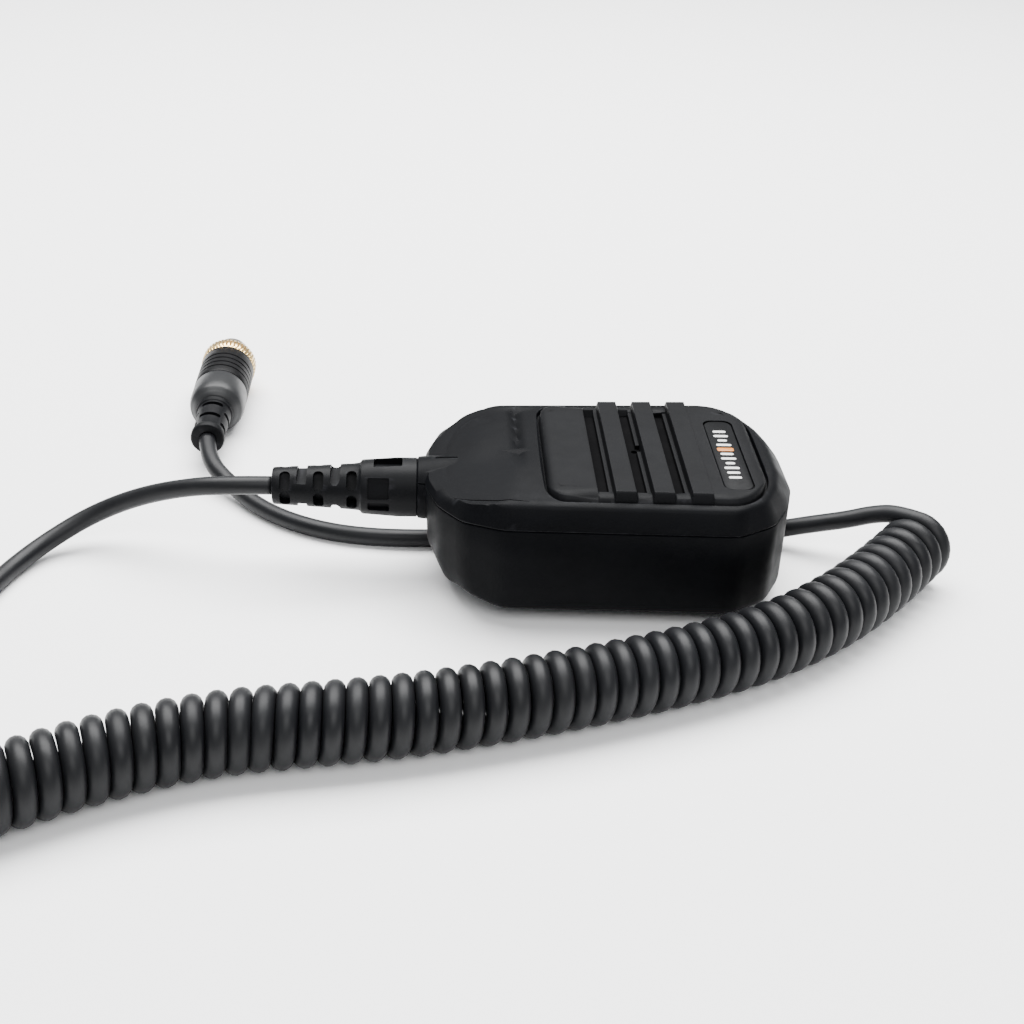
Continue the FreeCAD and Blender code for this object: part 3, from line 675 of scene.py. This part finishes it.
def panel_height(x, y):
    """Height of the panel's face: soft edge, raised bars, stepped slots with a sunk block at each end."""
    half = panel_half_width(x)
    side = half - abs(y)
    end = min(x - PANEL_LEFT, (PANEL_RIGHT - x) * 0.7)
    rise = min(1.0, side / 2.4, end / 2.6)
    face = PANEL_EDGE + (PANEL_TOP - PANEL_EDGE) * math.sqrt(max(0.0, 1 - (1 - rise) ** 2))
    scoop = 0.9 * hump(x, -5.0, 4.2) * hump(abs(y), 23.3, 1.3)
    height = face - scoop
    soft = 0.24
    for middle in BAR_MIDDLES:
        left = middle - BAR_WIDTH / 2
        past_left = ease(x, left - SLOT_WIDTH - soft, left - SLOT_WIDTH + soft)
        in_slot = past_left * ease(-x, -left - soft, -left + soft)
        block_floor = face - 0.55
        within = ease(-abs(y), -SLOT_END - soft, -SLOT_END + soft)
        in_block = ease(-abs(y), -BLOCK_END - soft, -BLOCK_END + soft)
        ledge = left - LEDGE_WIDTH
        clear_of_port = 1.0 if abs(y - PORT[1]) > PORT_GAP or abs(x - PORT[0]) > 3.0 else 0.0
        floor = SLOT_FLOOR + LEDGE_HEIGHT * clear_of_port * ease(x, ledge - 0.12, ledge + 0.12)
        sunk = block_floor + (floor - block_floor) * within
        height += (sunk - height) * in_slot * in_block
    for middle in BAR_MIDDLES:
        off = abs(x - middle)
        on_bar = ease(-off, -BAR_WIDTH / 2 - soft * 0.6, -BAR_WIDTH / 2 + soft)
        drop = max(0.0, abs(y) - (half - 1.3)) / 1.1
        top = BAR_TOP - (BAR_TOP - PANEL_EDGE - 0.2) * min(1.0, drop) ** 2
        height = max(height, height + (top - height) * on_bar)
    return height


def grille():
    """The whole panel as one closed body: its face is a grid that follows the outline."""
    bar_edges = [middle + side * BAR_WIDTH / 2 for middle in BAR_MIDDLES for side in (-1, 1)]
    slot_edges = [middle - BAR_WIDTH / 2 - SLOT_WIDTH for middle in BAR_MIDDLES]
    ledges = [middle - BAR_WIDTH / 2 - LEDGE_WIDTH for middle in BAR_MIDDLES]
    columns = grid_lines(PANEL_LEFT, PANEL_RIGHT, 0.7, bar_edges + slot_edges + ledges)
    edges = [side * edge for edge in (SLOT_END, BLOCK_END) for side in (-1, 1)]
    edges += [PORT[1] - PORT_GAP, PORT[1] + PORT_GAP]
    rows = grid_lines(-PANEL_HALF, PANEL_HALF, 0.8, edges)
    mesh = bmesh.new()
    grid = []
    for x in columns:
        half = panel_half_width(x)
        line = []
        for row in rows:
            y = row if abs(row) < SLOT_END - 1.0 and half > PANEL_HALF - 2.0 else row * half / PANEL_HALF
            line.append(mesh.verts.new((x, y, panel_height(x, y))))
        grid.append(line)
    for first, second in zip(grid, grid[1:]):
        for k in range(len(rows) - 1):
            mesh.faces.new((first[k], second[k], second[k + 1], first[k + 1]))
    rim = ([line[0] for line in grid] + grid[-1][1:] + [line[-1] for line in reversed(grid[:-1])]
           + list(reversed(grid[0][1:-1])))
    bottom = [mesh.verts.new((v.co.x, v.co.y, PANEL_BOTTOM)) for v in rim]
    for k in range(len(rim)):
        after = (k + 1) % len(rim)
        mesh.faces.new((rim[k], bottom[k], bottom[after], rim[after]))
    mesh.faces.new(bottom)
    bmesh.ops.recalc_face_normals(mesh, faces=mesh.faces)
    panel = mesh_piece("grille", mesh, from_mm(BODY_PLACE))
    cut(panel, badge_body("cutter", 0.28, PANEL_TOP - 0.75, BAR_TOP + 2, 0.0))
    cut(panel, rod(PORT_RADIUS, (*PORT, PANEL_BOTTOM - 1), (*PORT, BAR_TOP), count=24))
    soften(panel, 0.0, 42.0)
    dress(panel, "panel", panel_plastic(), "grille_panel")
    # Slot floor faces get a near-black second material: painted shade for the shade deep in the slots
    panel.data.materials.append(slot_painted_shade())
    for face in panel.data.polygons:
        if face.normal.z > -0.5 and is_in_slot(face.center / MM - BODY_PLACE):
            face.material_index = 1


def is_in_slot(place):
    """Whether a place, in the case's millimetres, is low in one of the slots."""
    if not PANEL_BOTTOM + 0.1 < place.z < SLOT_FLOOR + 0.7 or abs(place.y) > SLOT_END + 0.4:
        return False
    return any(-SLOT_WIDTH - 0.3 < place.x - (middle - BAR_WIDTH / 2) < 0.3 for middle in BAR_MIDDLES)


# ---- badge: a plain plaque with a row of level bars, one of them orange ----
BADGE_MIDDLE = (badge_low + badge_high) / 2 - BODY_PLACE
BADGE_HALF = (badge_high - badge_low) / 2


def badge_body(name, grow, low, high, edge):
    """The badge's rounded plaque; edge is how far its rim is rounded over."""
    rings = []
    for z, shrink in ((low, 0.0), (high - edge, 0.0), (high - edge * 0.3, edge * 0.3), (high, edge)):
        ring = []
        for x, y in rounded_rectangle(BADGE_HALF.x + grow - shrink, BADGE_HALF.y + grow - shrink, 2.3, 8):
            ring.append(Vector((BADGE_MIDDLE.x + x, BADGE_MIDDLE.y + y, z)))
        if not rings or (ring[0] - rings[-1][0]).length > 0.01:
            rings.append(ring)
    return lofted(name, rings)


def badge():
    top = PANEL_TOP - 0.15
    plaque = badge_body("badge_plaque", 0.0, PANEL_TOP - 0.7, top, 0.2)
    soften(plaque, 0.0, 60.0)
    dress(plaque, "badge", badge_plastic(), "badge_plate")
    bars = 11
    pitch = 2.35
    white = bmesh.new()
    orange = bmesh.new()
    for i in range(bars):
        y = BADGE_MIDDLE.y + (i - (bars - 1) / 2) * pitch
        is_orange = i == bars // 2 + 1
        length = 2.0 if is_orange else 1.1 + 0.75 * abs(math.sin(1.9 * i + 0.6))
        ring_points = rounded_rectangle(length, 0.85 if is_orange else 0.5, 0.42, 4)
        rings = []
        for z, shrink in ((top - 0.05, 1.0), (top + 0.08, 1.0), (top + 0.12, 0.9)):
            rings.append([(BADGE_MIDDLE.x - 0.2 + a * shrink, y + b * shrink, z) for a, b in ring_points])
        loft(orange if is_orange else white, rings)
    for name, mesh, paint in (("badge_bars", white, white_print()),
                              ("badge_bar_orange", orange, orange_print())):
        piece = mesh_piece(name, mesh, from_mm(BODY_PLACE))
        soften(piece, 0.0)
        dress(piece, "badge", paint)


# ---- talk button, turned square to the +Y side wall ----
BUTTON_X = (-20.0, 22.0)
BUTTON_Z = (6.5, 17.5)
BUTTON_PROUD = 1.4


def side_turn():
    """Carries a piece drawn with y = 0 on the side wall's outside to that wall, in the frame's metres."""
    first, last = HALF_OUTLINE[3], HALF_OUTLINE[4]
    slope = (last[1] - first[1]) / (last[0] - first[0])
    to_place = Matrix.Translation(BODY_PLACE * MM)
    side = Matrix.Translation(Vector((0, first[1] - first[0] * slope, 0)) * MM)
    return to_place @ side @ Matrix.Rotation(math.atan(slope), 4, "Z") @ to_place.inverted()


def talk_cap():
    """The button's cap: rounded over, gently dished, with a row of grip ribs and a flange behind."""
    middle_x = sum(BUTTON_X) / 2
    middle_z = sum(BUTTON_Z) / 2
    half_x = (BUTTON_X[1] - BUTTON_X[0]) / 2
    half_z = (BUTTON_Z[1] - BUTTON_Z[0]) / 2

    def ring(y, shrink):
        points = rounded_rectangle(half_x - shrink, half_z - shrink, 3.0 - shrink * 0.5, 8)
        return [(middle_x + a, y, middle_z + b) for a, b in points]

    lip = 1.4
    profile = [(-5.9, 0.3), (-5.6, 0.0), (-3.9, 0.0), (-3.9, -lip), (-2.6, -lip), (-2.6, 0.0), (0.5, 0.0),
               (1.0, 0.15), (1.28, 0.45), (BUTTON_PROUD, 0.9), (1.32, 1.6), (1.1, 2.4), (1.0, 3.2)]
    cap = lofted("talk_cap", [ring(y, shrink) for y, shrink in profile])
    ribs = 9
    for i in range(ribs):
        x = middle_x + (i - (ribs - 1) / 2) * 2.6
        points = rounded_rectangle(0.6, half_z - 2.9 - 0.12 * abs(i - (ribs - 1) / 2) ** 1.5, 0.5, 4)
        add_loose(cap, [[(x + a * share, y, middle_z + b * share) for a, b in points]
                        for y, share in ((0.9, 1.0), (1.3, 1.0), (1.5, 0.88), (1.56, 0.6))])
    post = rounded_rectangle(2.0, 1.5, 0.3, 3)
    add_loose(cap, [[(1.0 + a, y, 15.9 + b) for a, b in post] for y in (-8.0, -3.2)])
    cap.data.transform(side_turn())
    soften(cap, 0.0, 34.0)
    dress(cap, "button", button_rubber(), "talk_button", body="talk")


# ---- strain relief ----
def about_neck(degrees):
    """A turn round the cord's axis where it leaves the case."""
    centre = Matrix.Translation((BODY_PLACE + Vector((0, 0, NECK_AXIS))) * MM)
    return centre @ Matrix.Rotation(math.radians(degrees), 4, "X") @ centre.inverted()


def relief():
    """Smooth barrel with shallow recesses, then a ribbed tail with oval openings and cross notches."""
    start = NECK_START
    tail = start - 12.2
    end_radius = 4.5
    tail_radius = 5.8
    profile = [(start + 10.0, 6.0), (start + 8.0, 6.0), (start + 8.0, 4.5), (NECK_FACE, 4.5),
               (NECK_FACE, BARREL_RADIUS - 0.25), (NECK_FACE - 0.25, BARREL_RADIUS),
               (start - 3.0, BARREL_RADIUS), (start - 11.2, BARREL_RADIUS - 0.6),
               (start - 11.6, BARREL_RADIUS - 0.75), (start - 11.8, BARREL_RADIUS - 1.1),
               (tail, tail_radius)]
    ribs = 12
    for i in range(1, ribs):
        x = tail + (RELIEF_END - tail) * i / ribs
        profile.append((x, tail_radius + (end_radius - tail_radius) * (i / ribs) ** 0.8))
    profile += [(RELIEF_END + 0.5, end_radius), (RELIEF_END + 0.15, end_radius - 0.15),
                (RELIEF_END, end_radius - 0.5)]
    body = lofted("relief", turned_rings(profile, (0, 0, NECK_AXIS), "X", 72))
    web = CORD_RADIUS / MM + 0.35
    pitch = 8.0
    for i in range(3):
        x = start - 13.8 - pitch * i
        for angle, half in ((43.0, 2.5), (-17.0, 2.1), (137.0, 2.5), (197.0, 2.1)):
            cut(body, relief_cutter(x - 1.25, x + 1.25, angle, half, web, 1.1))
    for i in range(2):
        x = start - 13.8 - pitch * (i + 0.5)
        for side in (-1, 1):
            z = sorted((NECK_AXIS + side * web, NECK_AXIS + side * 9.0))
            cut(body, block((x - 1.2, x + 1.2), (-4.7, 4.7), z, 1.15))
    for angle, half in ((24.0, 2.6), (-17.0, 1.3), (156.0, 2.6), (197.0, 1.3)):
        cut(body, relief_cutter(start - 10.0, start - 4.8, angle, half, BARREL_RADIUS - 1.5, 0.35))
    for angle in (90.0, 270.0):
        cut(body, relief_cutter(start - 8.6, start - 1.7, angle, 2.1, BARREL_RADIUS - 2.0, 0.4))
    soften(body, 0.14, 34.0)
    return dress(body, "relief", relief_rubber(), "strain_relief")


def relief_cutter(low, high, angle, half, floor, radius):
    """Cuts a pocket down to a floor's distance from the axis, at an angle up from the near side."""
    cutter = block((low, high), (-12.0, -floor), (NECK_AXIS - half, NECK_AXIS + half), radius, "Y")
    cutter.data.transform(about_neck(-angle))
    return cutter


# ---- hang-up stud ----
def stud():
    height = BODY_PLACE.z
    profile = [(-height, 3.1), (-height, 6.7), (-height + 0.12, 7.2), (-height + 0.45, 7.5), (-3.6, 7.5),
               (-3.2, 7.3), (-3.0, 6.9), (-3.0, 5.0), (-2.8, 4.7), (-2.4, 4.6), (-1.4, 4.6), (-1.1, 4.8),
               (-1.0, 5.2), (-1.0, 6.2), (-0.8, 6.5), (0.0, 6.5), (0.0, 1.6), (-height + 2.2, 1.6),
               (-height + 2.2, 3.0), (-height + 0.2, 3.0)]
    piece = lofted("stud", turned_rings(profile, (0, 0, 0), "Z", 64), loop=True)
    soften(piece, 0.0, 50.0)
    dress(piece, "stud", stud_plastic(), "hanger_stud")


# ---- plug: turned pieces along +Y ----
BOOT_START = box_mm("plug_boot")[0].y
CONE_START = box_mm("plug_body")[0].y
SLEEVE_START = box_mm("plug_sleeve")[0].y
RING_START = ring_low.y
RING_END = ring_high.y
NOSE_END = box_mm("plug_nose")[1].y
SLEEVE_RADIUS = (box_mm("plug_sleeve")[1].z - box_mm("plug_sleeve")[0].z) / 2


def plug_loft(name, profile, loop=False, count=72):
    return lofted(name, turned_rings(profile, PLUG_AXIS, "Y", count), loop, Vector())


def plug_cutter(x, y, z, radius, axis):
    shift = PLUG_AXIS
    cutter = block([v + shift.x for v in x], y, [v + shift.z for v in z], radius, axis)
    cutter.data.transform(Matrix.Translation(-BODY_PLACE * MM))
    return cutter


def boot():
    start, end = BOOT_START, CONE_START
    cord = CORD_RADIUS / MM
    bore = cord + 0.02
    profile = [(start, bore), (start, 3.9), (start + 0.2, 4.4), (start + 0.5, 4.6), (start + 1.9, 4.65),
               (start + 2.2, 4.4), (start + 2.5, 4.3), (end - 2.1, 4.75), (end - 1.7, 5.1),
               (end - 0.2, 5.2), (end, 5.0), (end, bore)]
    piece = plug_loft("boot", profile, loop=True)
    web = cord + 0.4
    for i in range(4):
        y = start + 4.2 + 3.1 * i
        for side in (-1, 1):
            across = sorted((side * web, side * 9.0))
            if i % 2:
                cut(piece, plug_cutter((-2.9, 2.9), (y - 0.8, y + 0.8), across, 0.6, "Z"))
            else:
                cut(piece, plug_cutter(across, (y - 0.8, y + 0.8), (-2.9, 2.9), 0.6, "X"))
    soften(piece, 0.1, 34.0)
    return dress(piece, "relief", relief_rubber(), "plug_boot")


def cone():
    start, end = CONE_START, SLEEVE_START
    wide = SLEEVE_RADIUS - 0.05
    profile = [(start, 4.9), (start + 0.15, 5.4), (start + 0.5, 5.8), (start + 1.0, 6.3)]
    steps = 8
    for i in range(steps + 1):
        t = i / steps
        profile.append((start + 1.5 + 3.7 * t, 6.6 + (wide - 6.6) * math.sqrt(1 - (1 - t) ** 2)))
    profile += [(end - 0.5, wide), (end - 0.15, wide - 0.12), (end - 0.05, wide - 0.5)]
    piece = plug_loft("cone", profile)
    soften(piece, 0.0, 50.0)
    return dress(piece, "plug_plastic", cone_plastic(), "plug_body")


def sleeve():
    """The sleeve's fine grip grooves, close together next to the ring, and its plain band."""
    start, end = SLEEVE_START, RING_START - 0.2
    r = SLEEVE_RADIUS
    profile = [(start + 0.05, r - 0.6), (start + 0.1, r - 0.15), (start + 0.45, r)]
    grooves = 4
    for i in range(grooves):
        y = start + 3.2 + 2.7 * i
        profile += [(y, r), (y + 0.12, r - 0.15), (y + 0.2, r - 0.5), (y + 0.6, r - 0.5),
                    (y + 0.68, r - 0.15), (y + 0.8, r)]
    profile += [(end - 0.4, r), (end - 0.1, r - 0.15), (end, r - 0.6)]
    piece = plug_loft("sleeve", profile, count=96)
    soften(piece, 0.0, 50.0)
    return dress(piece, "relief", sleeve_rubber(), "plug_sleeve")


def coupling_ring():
    """The ring: straight knurling round a barrel with chamfered ends, and a plain bore."""
    teeth = 44
    per_tooth = 8
    count = teeth * per_tooth
    bore = 5.58
    r = RING_RADIUS
    rings = []
    edge = [(0.0, r - 0.9, 0.0), (0.12, r - 0.5, 0.0), (0.45, r - 0.25, 0.12), (0.8, r, 0.42)]
    outside = [(RING_START + step, radius, depth) for step, radius, depth in edge]
    outside += [(RING_END - step, radius, depth) for step, radius, depth in reversed(edge)]
    for y, radius, depth in outside:
        ring = []
        for k in range(count):
            angle = 2 * math.pi * k / count
            groove = max(0.0, math.cos(angle * teeth)) ** 1.5
            here = radius - depth * groove
            ring.append(PLUG_AXIS + Vector((here * math.sin(angle), y, here * math.cos(angle))))
        rings.append(ring)
    for y, radius in ((RING_END, bore + 0.3), (RING_END - 0.3, bore), (RING_START + 0.3, bore),
                      (RING_START, bore + 0.3)):
        rings.append(circle(PLUG_AXIS + Vector((0, y, 0)), radius, "Y", count))
    piece = lofted("coupling_ring", rings, True, Vector())
    soften(piece, 0.0, 36.0)
    return dress(piece, "ring_metal", ring_metal(), "plug_ring", body="ring")


def nose():
    """The plug's front tube, stepped down past the ring, with a rounded lip."""
    start, end = RING_START - 0.2, NOSE_END
    shoulder, outer, bore = 5.5, 5.2, 4.5
    step = RING_END + 0.1
    profile = [(start, bore), (start, shoulder), (step - 0.1, shoulder), (step, shoulder - 0.1),
               (step, outer - 0.25), (step + 0.4, outer - 0.25), (step + 0.45, outer - 0.08),
               (step + 0.6, outer), (end - 0.35, outer), (end - 0.1, outer - 0.1), (end, outer - 0.3),
               (end, bore + 0.15), (end - 0.2, bore)]
    piece = plug_loft("nose", profile, loop=True)
    soften(piece, 0.0, 40.0)
    return dress(piece, "nose_metal", nose_metal(), "plug_nose")


# ---- materials ----
def noise(tree, size, detail=3.0):
    """A noise pattern whose patches are about this many millimetres across."""
    place = tree.nodes.new("ShaderNodeTexCoord")
    pattern = tree.nodes.new("ShaderNodeTexNoise")
    pattern.inputs["Scale"].default_value = 1.0 / (size * MM)
    pattern.inputs["Detail"].default_value = detail
    tree.links.new(place.outputs["Object"], pattern.inputs["Vector"])
    return pattern.outputs["Fac"]


def spread(tree, value, low, high, to_low, to_high):
    """Map a value from one range to another, clamped."""
    node = tree.nodes.new("ShaderNodeMapRange")
    for name, limit in (("From Min", low), ("From Max", high), ("To Min", to_low), ("To Max", to_high)):
        node.inputs[name].default_value = limit
    tree.links.new(value, node.inputs["Value"])
    return node.outputs["Result"]


def blend_colour(tree, amount, first, second):
    node = tree.nodes.new("ShaderNodeMix")
    node.data_type = "RGBA"
    tree.links.new(amount, node.inputs["Factor"])
    for socket, value in ((node.inputs["A"], first), (node.inputs["B"], second)):
        if isinstance(value, tuple):
            socket.default_value = (*value, 1.0)
        else:
            tree.links.new(value, socket)
    return node.outputs["Result"]


def times(tree, first, second):
    node = tree.nodes.new("ShaderNodeMath")
    node.operation = "MULTIPLY"
    tree.links.new(first, node.inputs[0])
    tree.links.new(second, node.inputs[1])
    return node.outputs["Value"]


def finish_of(name, colour, roughness, grain, depth, patch=14.0, tint=0.16, worn=None, metallic=0.0,
              sheen=0.0, gloss=0.5):
    """A moulded, cast or machined finish: fine grain in the bump, soft patches, edges rubbed lighter."""
    material = bpy.data.materials.new(name)
    material.use_nodes = True
    tree = material.node_tree
    shader = tree.nodes["Principled BSDF"]
    patches = noise(tree, patch, 4.0)
    dark = tuple(c * (1 - tint) for c in colour)
    light = tuple(min(1.0, c * (1 + tint)) for c in colour)
    tone = blend_colour(tree, spread(tree, patches, 0.3, 0.7, 0.0, 1.0), dark, light)
    if worn:
        edges = tree.nodes.new("ShaderNodeNewGeometry").outputs["Pointiness"]
        rubbed = spread(tree, edges, 0.53, 0.60, 0.0, 0.75)
        broken = spread(tree, noise(tree, 1.6), 0.35, 0.65, 0.2, 1.0)
        tone = blend_colour(tree, times(tree, rubbed, broken), tone, worn)
    tree.links.new(tone, shader.inputs["Base Color"])
    fine = noise(tree, grain)
    uneven = 0.06
    gleam = spread(tree, noise(tree, patch * 0.4), 0.3, 0.7, roughness - uneven, roughness + uneven)
    tree.links.new(gleam, shader.inputs["Roughness"])
    bump = tree.nodes.new("ShaderNodeBump")
    bump.inputs["Strength"].default_value = 0.55
    bump.inputs["Distance"].default_value = depth * MM
    tree.links.new(fine, bump.inputs["Height"])
    tree.links.new(bump.outputs["Normal"], shader.inputs["Normal"])
    shader.inputs["Metallic"].default_value = metallic
    shader.inputs["Specular IOR Level"].default_value = gloss
    if sheen:
        shader.inputs["Sheen Weight"].default_value = sheen
        shader.inputs["Sheen Roughness"].default_value = 0.5
    return material


made = {}


def once(name, colour, **settings):
    """A named finish, made the first time it is asked for."""
    if name not in made:
        made[name] = finish_of(name, colour, **settings)
    return made[name]


def shell_plastic():
    return once("moulded_shell", (0.0022, 0.0024, 0.0030), roughness=0.5, grain=0.32, depth=0.035,
                worn=(0.012, 0.0125, 0.0145), gloss=0.045)


def panel_plastic():
    return once("moulded_panel", (0.0038, 0.0040, 0.0046), roughness=0.52, grain=0.30, depth=0.03,
                worn=(0.017, 0.017, 0.0195), gloss=0.055)


# Painted shade: a near-black finish for the slot floors, darker than the panel's own plastic
def slot_painted_shade():
    return once("slot_painted_shade", (0.0012, 0.0012, 0.0014), roughness=0.8, grain=0.25, depth=0.06, gloss=0.03)


def badge_plastic():
    return once("badge_satin", (0.0046, 0.0048, 0.0053), roughness=0.45, grain=0.2, depth=0.012, patch=6.0,
                gloss=0.055)


def white_print():
    return once("white_print", (0.60, 0.60, 0.58), roughness=0.45, grain=0.15, depth=0.01, patch=2.0,
                tint=0.05)


def orange_print():
    return once("orange_print", (0.46, 0.14, 0.001), roughness=0.42, grain=0.15, depth=0.01, patch=2.0,
                tint=0.08)


def button_rubber():
    return once("button_rubber", (0.0036, 0.0037, 0.0042), roughness=0.6, grain=0.22, depth=0.03,
                worn=(0.016, 0.016, 0.018), gloss=0.1)


def cord_skin():
    return once("cord_skin", (0.0038, 0.0041, 0.0050), roughness=0.46, grain=0.5, depth=0.014, patch=22.0,
                tint=0.22, gloss=0.2)


def relief_rubber():
    return once("relief_rubber", (0.0026, 0.0028, 0.0034), roughness=0.48, grain=0.35, depth=0.03,
                worn=(0.014, 0.014, 0.0165), gloss=0.08)


def sleeve_rubber():
    return once("sleeve_rubber", (0.0016, 0.0016, 0.0019), roughness=0.46, grain=0.25, depth=0.02,
                worn=(0.007, 0.007, 0.008), gloss=0.08)


def cone_plastic():
    return once("cone_plastic", (0.010, 0.0105, 0.0112), roughness=0.42, grain=0.3, depth=0.012, gloss=0.26)


def stud_plastic():
    return once("stud_plastic", (0.013, 0.013, 0.014), roughness=0.44, grain=0.3, depth=0.02,
                worn=(0.05, 0.05, 0.05), gloss=0.3)


def ring_metal():
    return once("ring_metal", (0.74, 0.52, 0.23), roughness=0.28, grain=0.12, depth=0.008, patch=2.5,
                tint=0.12, worn=(0.92, 0.78, 0.5), metallic=1.0)


def nose_metal():
    return once("nose_metal", (0.72, 0.71, 0.68), roughness=0.24, grain=0.1, depth=0.004, patch=3.0,
                tint=0.06, metallic=1.0)


def steel():
    return once("zinc_steel", (0.52, 0.53, 0.54), roughness=0.34, grain=0.12, depth=0.006, patch=2.0,
                worn=(0.8, 0.8, 0.8), metallic=1.0)


def brass():
    return once("machined_brass", (0.72, 0.52, 0.24), roughness=0.3, grain=0.1, depth=0.005, patch=2.0,
                worn=(0.9, 0.78, 0.5), metallic=1.0)


def capsule_metal():
    return once("capsule_metal", (0.7, 0.7, 0.7), roughness=0.36, grain=0.12, depth=0.004, patch=2.0,
                metallic=1.0)


def gasket_rubber():
    return once("gasket_rubber", (0.02, 0.02, 0.02), roughness=0.7, grain=0.2, depth=0.02, sheen=0.2)


def chip_plastic():
    return once("chip_plastic", (0.022, 0.022, 0.023), roughness=0.6, grain=0.12, depth=0.012, patch=3.0,
                worn=(0.08, 0.08, 0.08))


def solder_mask():
    return once("solder_mask", (0.015, 0.13, 0.05), roughness=0.3, grain=0.6, depth=0.015, patch=5.0,
                worn=(0.35, 0.32, 0.2))


def felt_cloth():
    return once("felt", (0.03, 0.03, 0.03), roughness=0.95, grain=0.12, depth=0.12, patch=1.5, sheen=0.6)


def wire_plastic():
    return once("wire_plastic", (0.45, 0.05, 0.04), roughness=0.4, grain=0.3, depth=0.008, patch=4.0)


def housing_plastic():
    return once("housing_plastic", (0.74, 0.70, 0.60), roughness=0.45, grain=0.25, depth=0.012, patch=4.0,
                worn=(0.85, 0.83, 0.76))


def clamp_plastic():
    return once("clamp_plastic", (0.05, 0.05, 0.053), roughness=0.48, grain=0.25, depth=0.015)


SLOT_FINISH = {
    "steel": steel, "brass": brass, "seal": gasket_rubber, "chip": chip_plastic, "board": solder_mask,
    "felt": felt_cloth, "capsule": capsule_metal, "wire": wire_plastic, "housing": housing_plastic,
    "plug_plastic": clamp_plastic, "cord": cord_skin, "insert": chip_plastic,
}


def finish_cad_nodes():
    """Give every CAD node that stays shown the material for its slot."""
    slots = {part["node"]: part["material_slot"] for part in frame["record"]["subparts"]}
    for name, node in frame["nodes"].items():
        finish = SLOT_FINISH.get(slots[name])
        if finish is None:
            continue
        for material_slot in node.material_slots:
            material_slot.link = "OBJECT"
            material_slot.material = finish()


# ---- floor and light ----
def add_floor():
    data = bpy.data.meshes.new("floor")
    reach = 3.0
    data.from_pydata([(-reach, -reach, 0), (reach, -reach, 0), (reach, reach, 0), (-reach, reach, 0)], [],
                     [(0, 1, 2, 3)])
    floor = add_to_scene("floor", data)
    material = bpy.data.materials.new("floor")
    material.use_nodes = True
    shader = material.node_tree.nodes["Principled BSDF"]
    shader.inputs["Base Color"].default_value = (0.93, 0.93, 0.93, 1)
    shader.inputs["Roughness"].default_value = 0.7
    data.materials.append(material)


def area_light(name, place, aim, size, power):
    data = bpy.data.lights.new(name, "AREA")
    data.shape = "RECTANGLE"
    data.size, data.size_y = size
    data.energy = power
    light = add_to_scene(name, data)
    direction = Vector(aim) - Vector(place)
    light.location = place
    light.rotation_euler = direction.to_track_quat("-Z", "Y").to_euler()


def add_light():
    world = bpy.data.worlds.new("studio")
    world.use_nodes = True
    background = world.node_tree.nodes["Background"]
    background.inputs["Color"].default_value = (0.95, 0.97, 1.0, 1)
    background.inputs["Strength"].default_value = 0.5
    bpy.context.scene.world = world
    area_light("overhead", (-0.05, 0.40, 0.95), (0, 0, 0), (1.3, 0.9), 60.0)
    area_light("front", (0.05, -0.70, 0.80), (0, 0, 0.02), (0.8, 0.5), 8.0)


add_camera()
rear_case()
front_case()
grille()
badge()
talk_cap()
stud()
curly_cord, cord_line = add_cord()
on_cord = [relief(), boot(), cone(), sleeve(), coupling_ring(), nose()]
finish_cad_nodes()
add_floor()
add_light()
